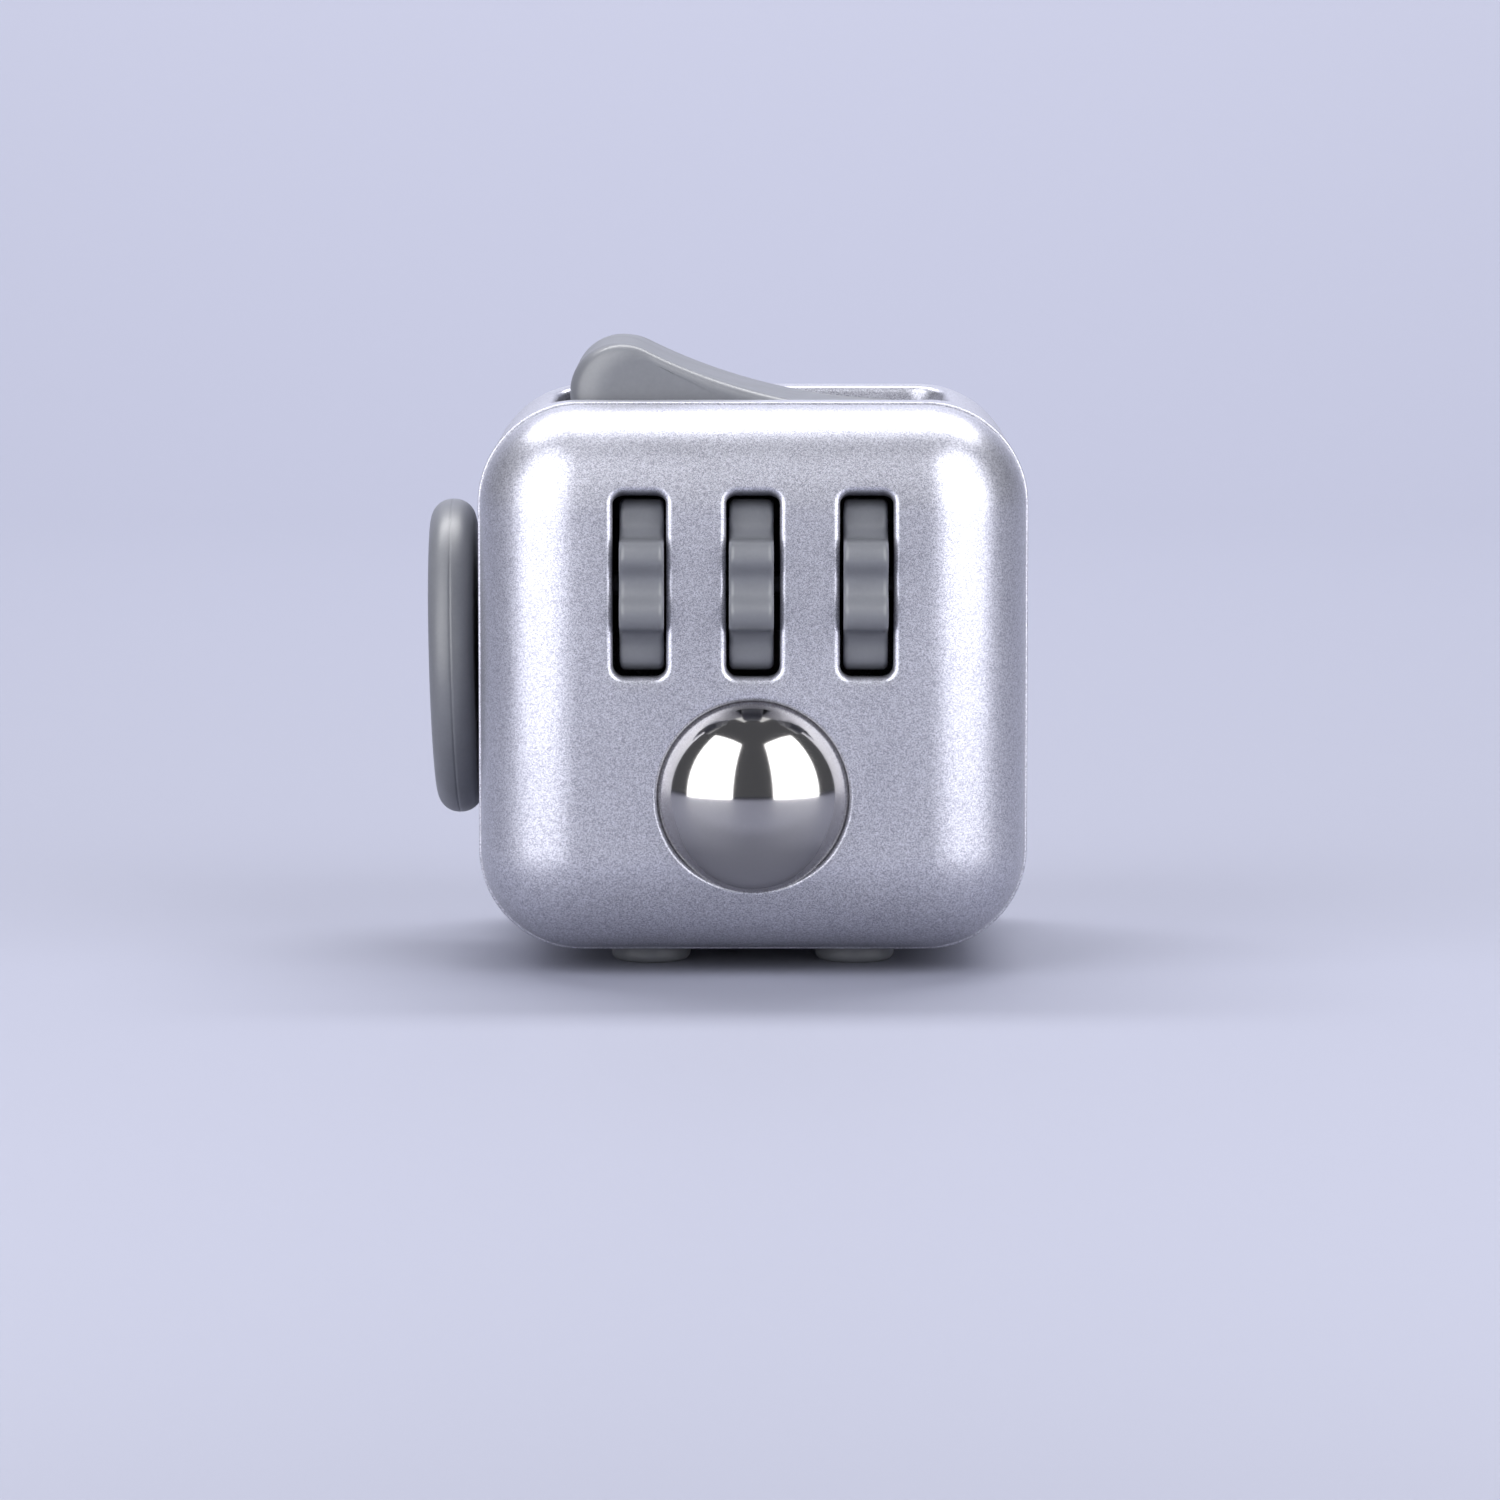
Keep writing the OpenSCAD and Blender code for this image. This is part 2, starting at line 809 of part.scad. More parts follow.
// Button with a flat tip and a rounded edge; its flange keeps it inside the cube
module click_button(at) {
    edge = 0.5;
    color(grey)
        on_centre()
            translate([at.x, at.y, 0])
                rotate_extrude() {
                    translate([0, -half - button_out])
                        square([button_r - edge, edge]);
                    translate([button_r - edge, -half - button_out + edge])
                        intersection() {
                            circle(r = edge);
                            translate([0, -edge])
                                square(edge);
                        }
                    translate([0, -half - button_out + edge])
                        square([button_r, half + button_out - edge + flange_top]);
                    translate([0, flange_top - flange_t])
                        square([flange_r, flange_t]);
                    translate([0, flange_top])
                        square([button_stem_r, plate_low + plate_t - gap - flange_top]);
                }
}

module button_spring(at) {
    color(steel)
        on_centre()
            translate([at.x, at.y, 0])
                coil_spring(1.6, 0.16, 3, flange_top, plate_low);
}

// Plate that carries the upper ends of the springs, cut away to clear the pressed ball
module button_plate() {
    color(dark)
        on_centre()
            difference() {
                box([-plate_half, -plate_half + 0.6, plate_low], [plate_half, plate_half, plate_low + plate_t]);
                for (p = button_xy)
                    rod_z(button_stem_r + fit, plate_low - 1, 0, p.x, p.y);
                for (p = [[-plate_boss, 0], [plate_boss, 0], [0, plate_boss]])
                    rod_z(screw_r + snug, plate_low - 1, 0, p.x, p.y);
                translate([0, ball_y + ball_travel / 2, ball_z])
                    sphere(r = ball_r + 0.9);
            }
}

module button_plate_screws() {
    color(steel)
        on_centre()
            for (p = [[-plate_boss, 0], [plate_boss, 0], [0, plate_boss]])
                screw_z(plate_low + plate_t, plate_low - 2.5, p.x, p.y);
}

// ---- dial ----

module dial() {
    rim = 0.8;
    dimple_r = 2.6;
    dimple_depth = 1;
    dimple_ball = (dimple_r * dimple_r + dimple_depth * dimple_depth) / (2 * dimple_depth);
    face = dial_in + dial_t;
    color(grey)
        on_centre()
            difference() {
                union() {
                    translate([0, dial_in, 0])
                        rotate([-90, 0, 0])
                            rotate_extrude($fn = 96) {
                                square([dial_r - rim, dial_t]);
                                square([dial_r, dial_t - rim]);
                                translate([dial_r - rim, dial_t - rim])
                                    circle(r = rim);
                            }
                    rod_y(shaft_r, shaft_end, dial_in + 0.5, 0, 0);
                }
                rod_y(dial_screw_r + snug, shaft_end - 1, dial_in + 0.3, 0, 0);
                translate([0, face + dimple_ball - dimple_depth, 5.2])
                    sphere(r = dimple_ball);
            }
}

module dial_washer() {
    color(steel)
        on_centre()
            difference() {
                rod_y(3.8, shaft_end - washer_t, shaft_end, 0, 0);
                rod_y(dial_screw_r + snug, shaft_end - 2, shaft_end + 1, 0, 0);
            }
}

module dial_screw() {
    color(steel)
        on_centre() {
            rod_y(1.5, shaft_end - washer_t - 0.8, shaft_end - washer_t, 0, 0);
            rod_y(dial_screw_r, shaft_end - washer_t, dial_in, 0, 0);
        }
}

front_shell();
middle_shell();
rear_shell();
toothed_wheel(wheel_x[0]);  // wheel_left
toothed_wheel(wheel_x[1]);  // wheel_middle
toothed_wheel(wheel_x[2]);  // wheel_right
wheel_axle();
wheel_frame();
wheel_spring();
wheel_frame_screws();
ball();
ball_cup();
ball_spring();
ball_bracket();
ball_bracket_screws();
glide_pad();
glide_slider();
glide_screw();
glide_carriage();
glide_retainer();
glide_spring();
glide_retainer_screws();
flip_rocker();
flip_pin();
flip_cradle();
flip_spring();
flip_cradle_screws();
click_button(button_xy[0]);  // button_centre
click_button(button_xy[1]);  // button_front_left
click_button(button_xy[2]);  // button_front_right
click_button(button_xy[3]);  // button_back_left
click_button(button_xy[4]);  // button_back_right
button_spring(button_xy[0]);  // spring_centre
button_spring(button_xy[1]);  // spring_front_left
button_spring(button_xy[2]);  // spring_front_right
button_spring(button_xy[3]);  // spring_back_left
button_spring(button_xy[4]);  // spring_back_right
button_plate();
button_plate_screws();
dial();
dial_washer();
dial_screw();
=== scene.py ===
"""Fidget cube: its visible pieces and finishes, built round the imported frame.

Sizes are in millimetres, read about the cube's centre: x to the right, y away from the front,
z up. Each piece is put at its place in metres when its mesh is made.
"""

import json
import logging
import math
from dataclasses import dataclass, field
from enum import Enum

import bmesh
import bpy
import numpy as np
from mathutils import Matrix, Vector
from mathutils.geometry import delaunay_2d_cdt

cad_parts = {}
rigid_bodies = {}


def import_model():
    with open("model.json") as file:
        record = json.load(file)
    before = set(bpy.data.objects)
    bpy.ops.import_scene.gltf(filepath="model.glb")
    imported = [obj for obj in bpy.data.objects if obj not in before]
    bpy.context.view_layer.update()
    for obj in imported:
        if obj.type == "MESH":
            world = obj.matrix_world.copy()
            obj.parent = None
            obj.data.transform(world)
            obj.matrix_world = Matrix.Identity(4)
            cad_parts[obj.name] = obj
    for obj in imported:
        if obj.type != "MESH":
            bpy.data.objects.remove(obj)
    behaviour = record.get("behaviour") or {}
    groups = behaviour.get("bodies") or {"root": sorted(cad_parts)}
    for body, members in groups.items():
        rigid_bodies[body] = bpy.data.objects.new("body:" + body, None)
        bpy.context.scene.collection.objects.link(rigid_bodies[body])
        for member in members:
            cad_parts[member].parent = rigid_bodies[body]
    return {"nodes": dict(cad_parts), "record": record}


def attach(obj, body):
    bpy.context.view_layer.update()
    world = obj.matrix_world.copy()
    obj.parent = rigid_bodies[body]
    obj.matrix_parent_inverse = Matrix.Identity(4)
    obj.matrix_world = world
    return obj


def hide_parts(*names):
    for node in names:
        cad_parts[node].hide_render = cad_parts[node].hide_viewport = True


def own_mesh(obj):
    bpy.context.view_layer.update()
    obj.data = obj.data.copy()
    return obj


for leftover in list(bpy.data.objects):
    bpy.data.objects.remove(leftover)
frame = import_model()

MM = 0.001
OUTER_SPACING = 0.5
INNER_SPACING = 1.0
LOG = logging.getLogger("fidget_cube")


class Side(Enum):
    """The two ends of the body that a cap can close."""

    FRONT = -1
    REAR = 1


# ---------------------------------------------------------------- surfaces


@dataclass
class Patch:
    """A piece of surface: points in millimetres about the cube's centre, and faces on them."""

    points: np.ndarray
    faces: np.ndarray


def grid_patch(points: np.ndarray, wrap: bool = False, flip: bool = False) -> Patch:
    """Joins a grid of points into quads.

    Args:
        points: array (rows, columns, 3).
        wrap: True when the last column meets the first one.
        flip: True to turn the faces round.

    Returns:
        The patch, with rows x columns points.
    """
    rows, columns = points.shape[:2]
    index = np.arange(rows * columns).reshape(rows, columns)
    if wrap:
        index = np.concatenate([index, index[:, :1]], axis=1)
    corners = [index[:-1, :-1], index[:-1, 1:], index[1:, 1:], index[1:, :-1]]
    quads = np.stack(corners, axis=-1).reshape(-1, 4)
    if flip:
        quads = quads[:, ::-1]
    return Patch(points.reshape(-1, 3), quads)


def make_piece(
    name: str, patches: list[Patch], body: str, replaced: list[str]
) -> bpy.types.Object:
    """Makes one closed, smooth object from patches, and puts it on its body.

    Args:
        name: name of the new object.
        patches: the surfaces, whose shared edges are merged.
        body: the moving body it rides on.
        replaced: the frame's nodes it replaces.

    Returns:
        The new object, with its place in its mesh.
    """
    centre = np.array([0.0, 0.0, CUBE.centre_z])
    vertices: list[tuple] = []
    faces: list[tuple] = []
    for patch in patches:
        base = len(vertices)
        vertices.extend(map(tuple, ((patch.points + centre) * MM).tolist()))
        faces.extend(map(tuple, (patch.faces + base).tolist()))
    mesh = bpy.data.meshes.new(name)
    mesh.from_pydata(vertices, [], faces)
    work = bmesh.new()
    work.from_mesh(mesh)
    bmesh.ops.remove_doubles(work, verts=work.verts, dist=2e-6)
    bmesh.ops.dissolve_degenerate(work, dist=1e-7, edges=work.edges)
    bmesh.ops.recalc_face_normals(work, faces=work.faces)
    open_edges = sum(1 for edge in work.edges if not edge.is_manifold)
    work.to_mesh(mesh)
    work.free()
    mesh.shade_smooth()
    piece = bpy.data.objects.new(name, mesh)
    bpy.context.scene.collection.objects.link(piece)
    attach(piece, body)
    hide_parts(*replaced)
    LOG.info("%s: %d faces, %d open edges", name, len(mesh.polygons), open_edges)
    return piece


def revolve(profile: np.ndarray, steps: int = 128) -> np.ndarray:
    """Turns a profile about the Z axis: point = (r cos u, r sin u, h).

    Args:
        profile: array (n, 2) of radius and height.
        steps: number of stations round the axis.

    Returns:
        Grid (n, steps, 3).
    """
    u = np.linspace(0, 2 * math.pi, steps, endpoint=False)
    r = profile[:, :1]
    return np.stack([r * np.cos(u), r * np.sin(u), np.repeat(profile[:, 1:], steps, axis=1)], axis=-1)


def turned(points: np.ndarray, rows: list[tuple[float, float, float]]) -> np.ndarray:
    """Carries points from a piece's own axes to the cube's: new = rows x old.

    Args:
        points: array (..., 3).
        rows: the cube's x, y and z written in the piece's own axes.

    Returns:
        Array of the same shape.
    """
    return points @ np.array(rows, float).T


ALONG_X = [(0, 0, 1), (1, 0, 0), (0, 1, 0)]
ALONG_MINUS_X = [(0, 0, -1), (-1, 0, 0), (0, 1, 0)]
ALONG_Y = [(1, 0, 0), (0, 0, 1), (0, -1, 0)]
ALONG_MINUS_Z = [(1, 0, 0), (0, -1, 0), (0, 0, -1)]


def corner_arc(centre: tuple[float, float], r: float, start: float, end: float, steps: int = 8) -> np.ndarray:
    """Points on an arc: centre + r (cos a, sin a), from one angle to the other.

    Args:
        centre: the arc's centre.
        r: its radius.
        start: first angle in degrees.
        end: last angle in degrees.
        steps: number of stretches.

    Returns:
        Array (steps + 1, 2).
    """
    a = np.radians(np.linspace(start, end, steps + 1))
    return np.stack([centre[0] + r * np.cos(a), centre[1] + r * np.sin(a)], axis=-1)


def chain(*parts: np.ndarray) -> np.ndarray:
    """Joins stretches of a profile, each an array (n, 2) or a single point, into one array."""
    return np.concatenate([np.atleast_2d(np.asarray(p, float)) for p in parts])


# ---------------------------------------------------------------- openings and curved walls


@dataclass
class Outline:
    """Closed loop in a wall's flat plane, with the unit normals that point away from its middle."""

    points: np.ndarray
    normals: np.ndarray

    def grown(self, distance: float) -> np.ndarray:
        """The loop moved outwards: point + distance x normal."""
        return self.points + distance * self.normals


def rounded_loop(centre: tuple[float, float], size: tuple[float, float], r: float, step: float) -> Outline:
    """Rectangle with round corners, each a quarter turn about its own centre.

    Args:
        centre: middle of the rectangle.
        size: full width and height.
        r: corner radius; half the size gives a circle.
        step: longest distance between points.

    Returns:
        The outline, anticlockwise.
    """
    half = np.array(size, float) / 2 - r
    points: list[np.ndarray] = []
    normals: list[np.ndarray] = []
    turns = max(6, int(math.ceil(r * math.pi / 2 / step)))
    signs = [(1, 1), (-1, 1), (-1, -1), (1, -1)]
    for k, sign in enumerate(signs):
        a = np.radians(np.linspace(90 * k, 90 * k + 90, turns + 1))
        normal = np.stack([np.cos(a), np.sin(a)], axis=-1)
        points.append(half * sign + r * normal)
        normals.append(normal)
        run = (half * signs[(k + 1) % 4] + r * normal[-1]) - points[-1][-1]
        count = int(np.hypot(*run) / step)
        if count > 1:
            t = np.arange(1, count)[:, None] / count
            points.append(points[-1][-1] + t * run)
            normals.append(np.repeat(normal[-1:], count - 1, axis=0))
    loop = np.concatenate(points) + np.array(centre, float)
    aim = np.concatenate(normals)
    keep = np.hypot(*(loop - np.roll(loop, 1, axis=0)).T) > 1e-6
    return Outline(loop[keep], aim[keep])


def circle(centre: tuple[float, float], r: float, step: float) -> Outline:
    """Round hole: a rounded rectangle whose corners meet."""
    return rounded_loop(centre, (2 * r, 2 * r), r, step)


def inside(points: np.ndarray, loop: np.ndarray) -> np.ndarray:
    """Says which points lie inside a loop, by counting how often a ray to the right crosses it.

    Args:
        points: array (n, 2).
        loop: array (m, 2), closed.

    Returns:
        Boolean array (n,).
    """
    a = loop[None]
    b = np.roll(loop, -1, axis=0)[None]
    p = points[:, None]
    spans = (a[..., 1] > p[..., 1]) != (b[..., 1] > p[..., 1])
    rise = np.where(b[..., 1] == a[..., 1], 1, b[..., 1] - a[..., 1])
    cross = a[..., 0] + (p[..., 1] - a[..., 1]) * (b[..., 0] - a[..., 0]) / rise
    return (np.sum(spans & (p[..., 0] < cross), axis=1) % 2) == 1


def distance(points: np.ndarray, loop: np.ndarray) -> np.ndarray:
    """Distance of each point from the nearest stretch of a loop.

    Args:
        points: array (n, 2).
        loop: array (m, 2), closed.

    Returns:
        Array (n,).
    """
    a = loop[None]
    run = np.roll(loop, -1, axis=0)[None] - a
    to = points[:, None] - a
    t = np.clip(np.sum(to * run, axis=-1) / np.maximum(np.sum(run * run, axis=-1), 1e-12), 0, 1)
    return np.min(np.hypot(*np.moveaxis(to - t[..., None] * run, -1, 0)), axis=1)


@dataclass
class Opening:
    """Hole through a wall, with a rounded edge at its outer end."""

    outline: Outline
    edge_r: float

    def profile(self, thickness: float) -> np.ndarray:
        """Distance out and depth: a quarter round, then straight down to the inner face."""
        over = corner_arc((self.edge_r, self.edge_r), self.edge_r, 270, 180, 5)
        return chain(over, [0, thickness * 0.5], [0, thickness])


class Wall:
    """A wall worked out on a flat plane (a, b): place() bends it and sinks it by a depth."""

    def place(self, a: np.ndarray, b: np.ndarray, d: np.ndarray) -> np.ndarray:
        """Bends flat places and their depths into the cube's own space.

        Args:
            a: first flat coordinate.
            b: second flat coordinate.
            d: depth below the outer surface.

        Returns:
            Array (..., 3).
        """
        raise NotImplementedError

    def band(self, outline: Outline, profile: np.ndarray) -> Patch:
        """Carries a profile of distance out and depth along an outline.

        Args:
            outline: the closed path.
            profile: array (n, 2).

        Returns:
            The patch.
        """
        flat = outline.points[None] + profile[:, :1, None] * outline.normals[None]
        depth = np.repeat(profile[:, 1:], len(outline.points), axis=1)
        return grid_patch(self.place(flat[..., 0], flat[..., 1], depth), wrap=True)

    def fill(self, border: np.ndarray, holes: list[np.ndarray], spacing: float, depth: float) -> Patch:
        """Covers the flat plane between loops with triangles on an even grid of points, then bends it.

        Args:
            border: the outer loop.
            holes: loops that are left open.
            spacing: distance between the grid's points.
            depth: depth below the outer surface.

        Returns:
            The patch.
        """
        low, high = border.min(0), border.max(0)
        counts = np.maximum(2, np.round((high - low) / spacing).astype(int))
        xs = np.linspace(low[0], high[0], counts[0] + 1)[1:-1]
        ys = np.linspace(low[1], high[1], counts[1] + 1)[1:-1]
        grid = np.stack(np.meshgrid(xs, ys), axis=-1).reshape(-1, 2)
        grid = grid[inside(grid, border) & (distance(grid, border) > 0.5 * spacing)]
        for hole in holes:
            near = np.all((grid > hole.min(0) - spacing) & (grid < hole.max(0) + spacing), axis=1)
            drop = inside(grid[near], hole) | (distance(grid[near], hole) < 0.5 * spacing)
            grid = np.concatenate([grid[~near], grid[near][~drop]])
        loops = [border, *holes]
        edges: list[tuple[int, int]] = []
        start = 0
        for loop in loops:
            count = len(loop)
            edges.extend((start + i, start + (i + 1) % count) for i in range(count))
            start += count
        flat = np.concatenate([*loops, grid])
        found = delaunay_2d_cdt([Vector(p) for p in flat.tolist()], edges, [], 0, 1e-7)
        points = np.array([tuple(p) for p in found[0]])
        faces = np.array(found[2])
        middle = points[faces].mean(axis=1)
        keep = inside(middle, border)
        for hole in holes:
            keep &= ~inside(middle, hole)
        bent = self.place(points[:, 0], points[:, 1], np.full(len(points), depth))
        return Patch(bent, faces[keep])

    def shell(self, border: Outline, lip: np.ndarray, openings: list[Opening]) -> list[Patch]:
        """Builds a closed wall: both faces, a lip round the border, and a side round each opening.

        Args:
            border: outer edge of the wall.
            lip: profile of distance out and depth that joins the two faces at the border.
            openings: the holes.

        Returns:
            The patches.
        """
        outer_holes = [hole.outline.grown(hole.edge_r) for hole in openings]
        inner_holes = [hole.outline.points for hole in openings]
        patches = [
            self.fill(border.grown(lip[0, 0]), outer_holes, OUTER_SPACING, 0.0),
            self.fill(border.grown(lip[-1, 0]), inner_holes, INNER_SPACING, CUBE.wall),
            self.band(border, lip),
        ]
        patches += [self.band(hole.outline, hole.profile(CUBE.wall)) for hole in openings]
        return patches


# ---------------------------------------------------------------- body


@dataclass
class CubeSizes:
    """Sizes that the whole cube shares."""

    edge: float = 33.0
    corner_r: float = 6.1
    wall: float = 1.8
    cap_depth: float = 5.8
    cap_inset: float = 0.12
    seam_gap: float = 0.1
    centre_z: float = 17.7
    ball_down: float = 6.6
    button_pos: float = 6.2
    pad_up: float = 0.35

    @property
    def half(self) -> float:
        """Half the cube's edge."""
        return self.edge / 2

    @property
    def flat(self) -> float:
        """Half the length of a face's flat middle."""
        return self.half - self.corner_r


CUBE = CubeSizes()


@dataclass
class CapWall(Wall):
    """Rounded end of the cube, as a flat sheet whose border is bent down round the edges.

    A flat place outside the square middle lies at distance s from it. It goes to an angle t = s / r round
    the edge: in the plane it moves r sin t from the square, and it sinks r (1 - cos t).
    """

    side: Side
    flat: float = CUBE.flat - CUBE.cap_inset
    r: float = CUBE.corner_r

    def place(self, a: np.ndarray, b: np.ndarray, d: np.ndarray) -> np.ndarray:
        """Bends the sheet round the cube's edges and corners, as the class says."""
        near_a = np.clip(a, -self.flat, self.flat)
        near_b = np.clip(b, -self.flat, self.flat)
        s = np.hypot(a - near_a, b - near_b)
        t = s / self.r
        reach = np.where(s > 1e-9, (self.r - d) * np.sin(t) / np.maximum(s, 1e-9), 0)
        sink = self.r - (self.r - d) * np.cos(t)
        x = near_a + (a - near_a) * reach
        z = near_b + (b - near_b) * reach
        y = (CUBE.half - sink) * self.side.value
        return np.stack([x, y, z], axis=-1)

    def unbend(self, outline: Outline) -> Outline:
        """Moves an outline seen straight on to the flat sheet: a distance r sin t becomes r t.

        Args:
            outline: the outline as seen from in front.

        Returns:
            The outline on the sheet.
        """
        near = np.clip(outline.points, -self.flat, self.flat)
        out = outline.points - near
        s = np.hypot(out[:, 0], out[:, 1])[:, None]
        stretch = np.where(s > 1e-9, self.r * np.arcsin(np.minimum(s / self.r, 1)) / np.maximum(s, 1e-9), 1)
        return Outline(near + out * stretch, outline.normals)


@dataclass
class BandWall(Wall):
    """The cube's four sides as a strip wound round the Y axis, starting at the middle of the top.

    The strip's first coordinate runs along the flat of a side and then round a corner of radius r.
    The dish in the right-hand side sinks the strip by depth (1 - q), where q is the squared distance
    from its middle in units of its half width and half length. A soft edge where q is 1 fades out beyond.
    """

    flat: float = CUBE.flat
    r: float = CUBE.corner_r
    dish_half_width: float = 7.5
    dish_half_length: float = 10.0
    dish_depth: float = 2.2
    dish_soft: float = 0.07
    dish_fade: tuple[float, float] = (-0.45, -0.1)

    @property
    def quarter(self) -> float:
        """Length of strip from the middle of one side to the middle of the next."""
        return 2 * self.flat + self.r * math.pi / 2

    @property
    def start(self) -> float:
        """Where the strip starts: halfway between two sides' middles."""
        return -1.5 * self.quarter

    @property
    def end(self) -> float:
        """Where the strip ends, after four sides."""
        return self.start + 4 * self.quarter

    def dish(self, along: np.ndarray, across: np.ndarray) -> np.ndarray:
        """Depth of the dish.

        Args:
            along: distance from the side's middle along the strip.
            across: distance from it across the strip.

        Returns:
            Depths of the same shape.
        """
        q = 1 - (across / self.dish_half_width) ** 2 - (along / self.dish_half_length) ** 2
        soft = (q + np.sqrt(q * q + self.dish_soft**2)) / 2
        low, high = self.dish_fade
        fade = np.clip((q - low) / (high - low), 0, 1)
        return self.dish_depth * soft * fade * fade * (3 - 2 * fade)

    def place(self, a: np.ndarray, b: np.ndarray, d: np.ndarray) -> np.ndarray:
        """Winds the strip round the Y axis, as the class says."""
        turn = np.floor((a + self.quarter / 2) / self.quarter)
        along = a - turn * self.quarter
        right = np.mod(turn, 4) == 1
        d = d + np.where(right, self.dish(along, b), 0)
        near = np.clip(along, -self.flat, self.flat)
        t = (along - near) / self.r
        u = near + (self.r - d) * np.sin(t)
        v = self.flat + (self.r - d) * np.cos(t)
        angle = turn * math.pi / 2
        x = u * np.cos(angle) + v * np.sin(angle)
        z = v * np.cos(angle) - u * np.sin(angle)
        return np.stack([x, b, z], axis=-1)

    def unbend(self, outline: Outline) -> Outline:
        """Moves an outline seen straight on to the strip: past the flat, r sin t becomes r t.

        Args:
            outline: the outline as seen square to the top side.

        Returns:
            The outline on the strip.
        """
        a = outline.points[:, 0]
        near = np.clip(a, -self.flat, self.flat)
        strip = near + self.r * np.arcsin(np.clip((a - near) / self.r, -1, 1))
        return Outline(np.stack([strip, outline.points[:, 1]], axis=-1), outline.normals)


@dataclass
class Body:
    """The three parts of the hollow body: front cap, middle band and rear cap."""

    slot_pitch: float = 6.74
    slot_size: tuple[float, float] = (3.2, 11.1)
    slot_r: float = 0.7
    slot_up: float = 6.0
    ball_hole_r: float = 5.7
    edge_r: float = 0.35
    seam_r: float = 0.1
    well: tuple[float, float, float, float] = (-12.2, 11.9, 15.3, 2.4)
    well_edge_r: float = 0.4
    pad_hole_r: float = 4.63
    button_hole_r: float = 2.45
    shaft_hole_r: float = 2.55
    small_edge_r: float = 0.2
    band_steps: int = 241

    def build(self, finish: "Finish") -> None:
        """Makes the three parts and dresses them.

        Args:
            finish: the finish of the body.
        """
        for piece in (self.front_cap(), self.middle_band(), self.rear_cap()):
            dress(piece, finish)

    def cap_border(self, wall: CapWall) -> Outline:
        """Border of a cap's sheet: the angle t at which it has sunk by the cap's depth."""
        t = math.acos(1 - (CUBE.cap_depth - CUBE.seam_gap / 2) / wall.r)
        reach = wall.r * t
        return rounded_loop((0, 0), (2 * (wall.flat + reach),) * 2, reach, 0.5)

    def lip(self) -> np.ndarray:
        """Edge at a seam: a small quarter round, then straight in through the wall."""
        over = corner_arc((-self.seam_r, self.seam_r), self.seam_r, 270, 360, 4)
        return chain(over, [0, CUBE.wall])

    def front_cap(self) -> bpy.types.Object:
        """The front cap, with three slots and the ball's hole."""
        wall = CapWall(Side.FRONT)
        places = [(k * self.slot_pitch, self.slot_up) for k in (-1, 0, 1)]
        slots = [rounded_loop(place, self.slot_size, self.slot_r, 0.4) for place in places]
        hole = circle((0, -CUBE.ball_down), self.ball_hole_r, 0.3)
        openings = [Opening(wall.unbend(slot), self.edge_r) for slot in slots]
        openings.append(Opening(wall.unbend(hole), self.edge_r * 0.8))
        patches = wall.shell(self.cap_border(wall), self.lip(), openings)
        return make_piece("front_cap_skin", patches, "shell", ["front_shell"])

    def rear_cap(self) -> bpy.types.Object:
        """The rear cap, with the hole for the dial's shaft."""
        wall = CapWall(Side.REAR)
        hole = Opening(circle((0, 0), self.shaft_hole_r, 0.3), self.small_edge_r)
        patches = wall.shell(self.cap_border(wall), self.lip(), [hole])
        return make_piece("rear_cap_skin", patches, "shell", ["rear_shell"])

    def middle_band(self) -> bpy.types.Object:
        """The middle band, with the rocker's well, the pad's hole, the dish and the button holes."""
        wall = BandWall()
        left, right, width, r = self.well
        well = rounded_loop(((left + right) / 2, 0), (right - left, width), r, 0.4)
        openings = [Opening(wall.unbend(well), self.well_edge_r)]
        pad = circle((-wall.quarter + CUBE.pad_up, 0), self.pad_hole_r, 0.4)
        openings.append(Opening(pad, self.small_edge_r))
        pos = CUBE.button_pos
        for x, y in [(0, 0)] + [(i * pos, j * pos) for i in (-1, 1) for j in (-1, 1)]:
            button = circle((2 * wall.quarter - x, y), self.button_hole_r, 0.3)
            openings.append(Opening(button, self.small_edge_r))
        half = CUBE.half - CUBE.cap_depth - CUBE.seam_gap / 2
        outer_holes = [hole.outline.grown(hole.edge_r) for hole in openings]
        inner_holes = [hole.outline.points for hole in openings]
        patches = [
            self.band_face(wall, half - self.seam_r, outer_holes, OUTER_SPACING, 0),
            self.band_face(wall, half, inner_holes, INNER_SPACING, CUBE.wall),
        ]
        patches += [wall.band(hole.outline, hole.profile(CUBE.wall)) for hole in openings]
        patches += [self.band_lip(wall, half, sign) for sign in (-1, 1)]
        return make_piece("middle_band_skin", patches, "shell", ["middle_shell"])

    def band_face(
        self, wall: BandWall, half: float, holes: list[np.ndarray], spacing: float, depth: float
    ) -> Patch:
        """One face of the strip, filled between its two long edges and its two ends, which meet.

        Args:
            wall: the strip.
            half: half its width.
            holes: loops left open.
            spacing: distance between the fill's points.
            depth: depth of the face.

        Returns:
            The patch.
        """
        a = np.linspace(wall.start, wall.end, self.band_steps)
        across = np.linspace(-half, half, max(4, int(2 * half / spacing)))[1:-1]
        border = np.concatenate([
            np.stack([a, np.full_like(a, -half)], axis=-1),
            np.stack([np.full_like(across, wall.end), across], axis=-1),
            np.stack([a[::-1], np.full_like(a, half)], axis=-1),
            np.stack([np.full_like(across, wall.start), across[::-1]], axis=-1),
        ])
        laps = [hole + [lap * 4 * wall.quarter, 0] for hole in holes for lap in (-1, 0, 1)]
        inner = [hole for hole in laps if hole[:, 0].min() > wall.start and hole[:, 0].max() < wall.end]
        return wall.fill(border, inner, spacing, depth)

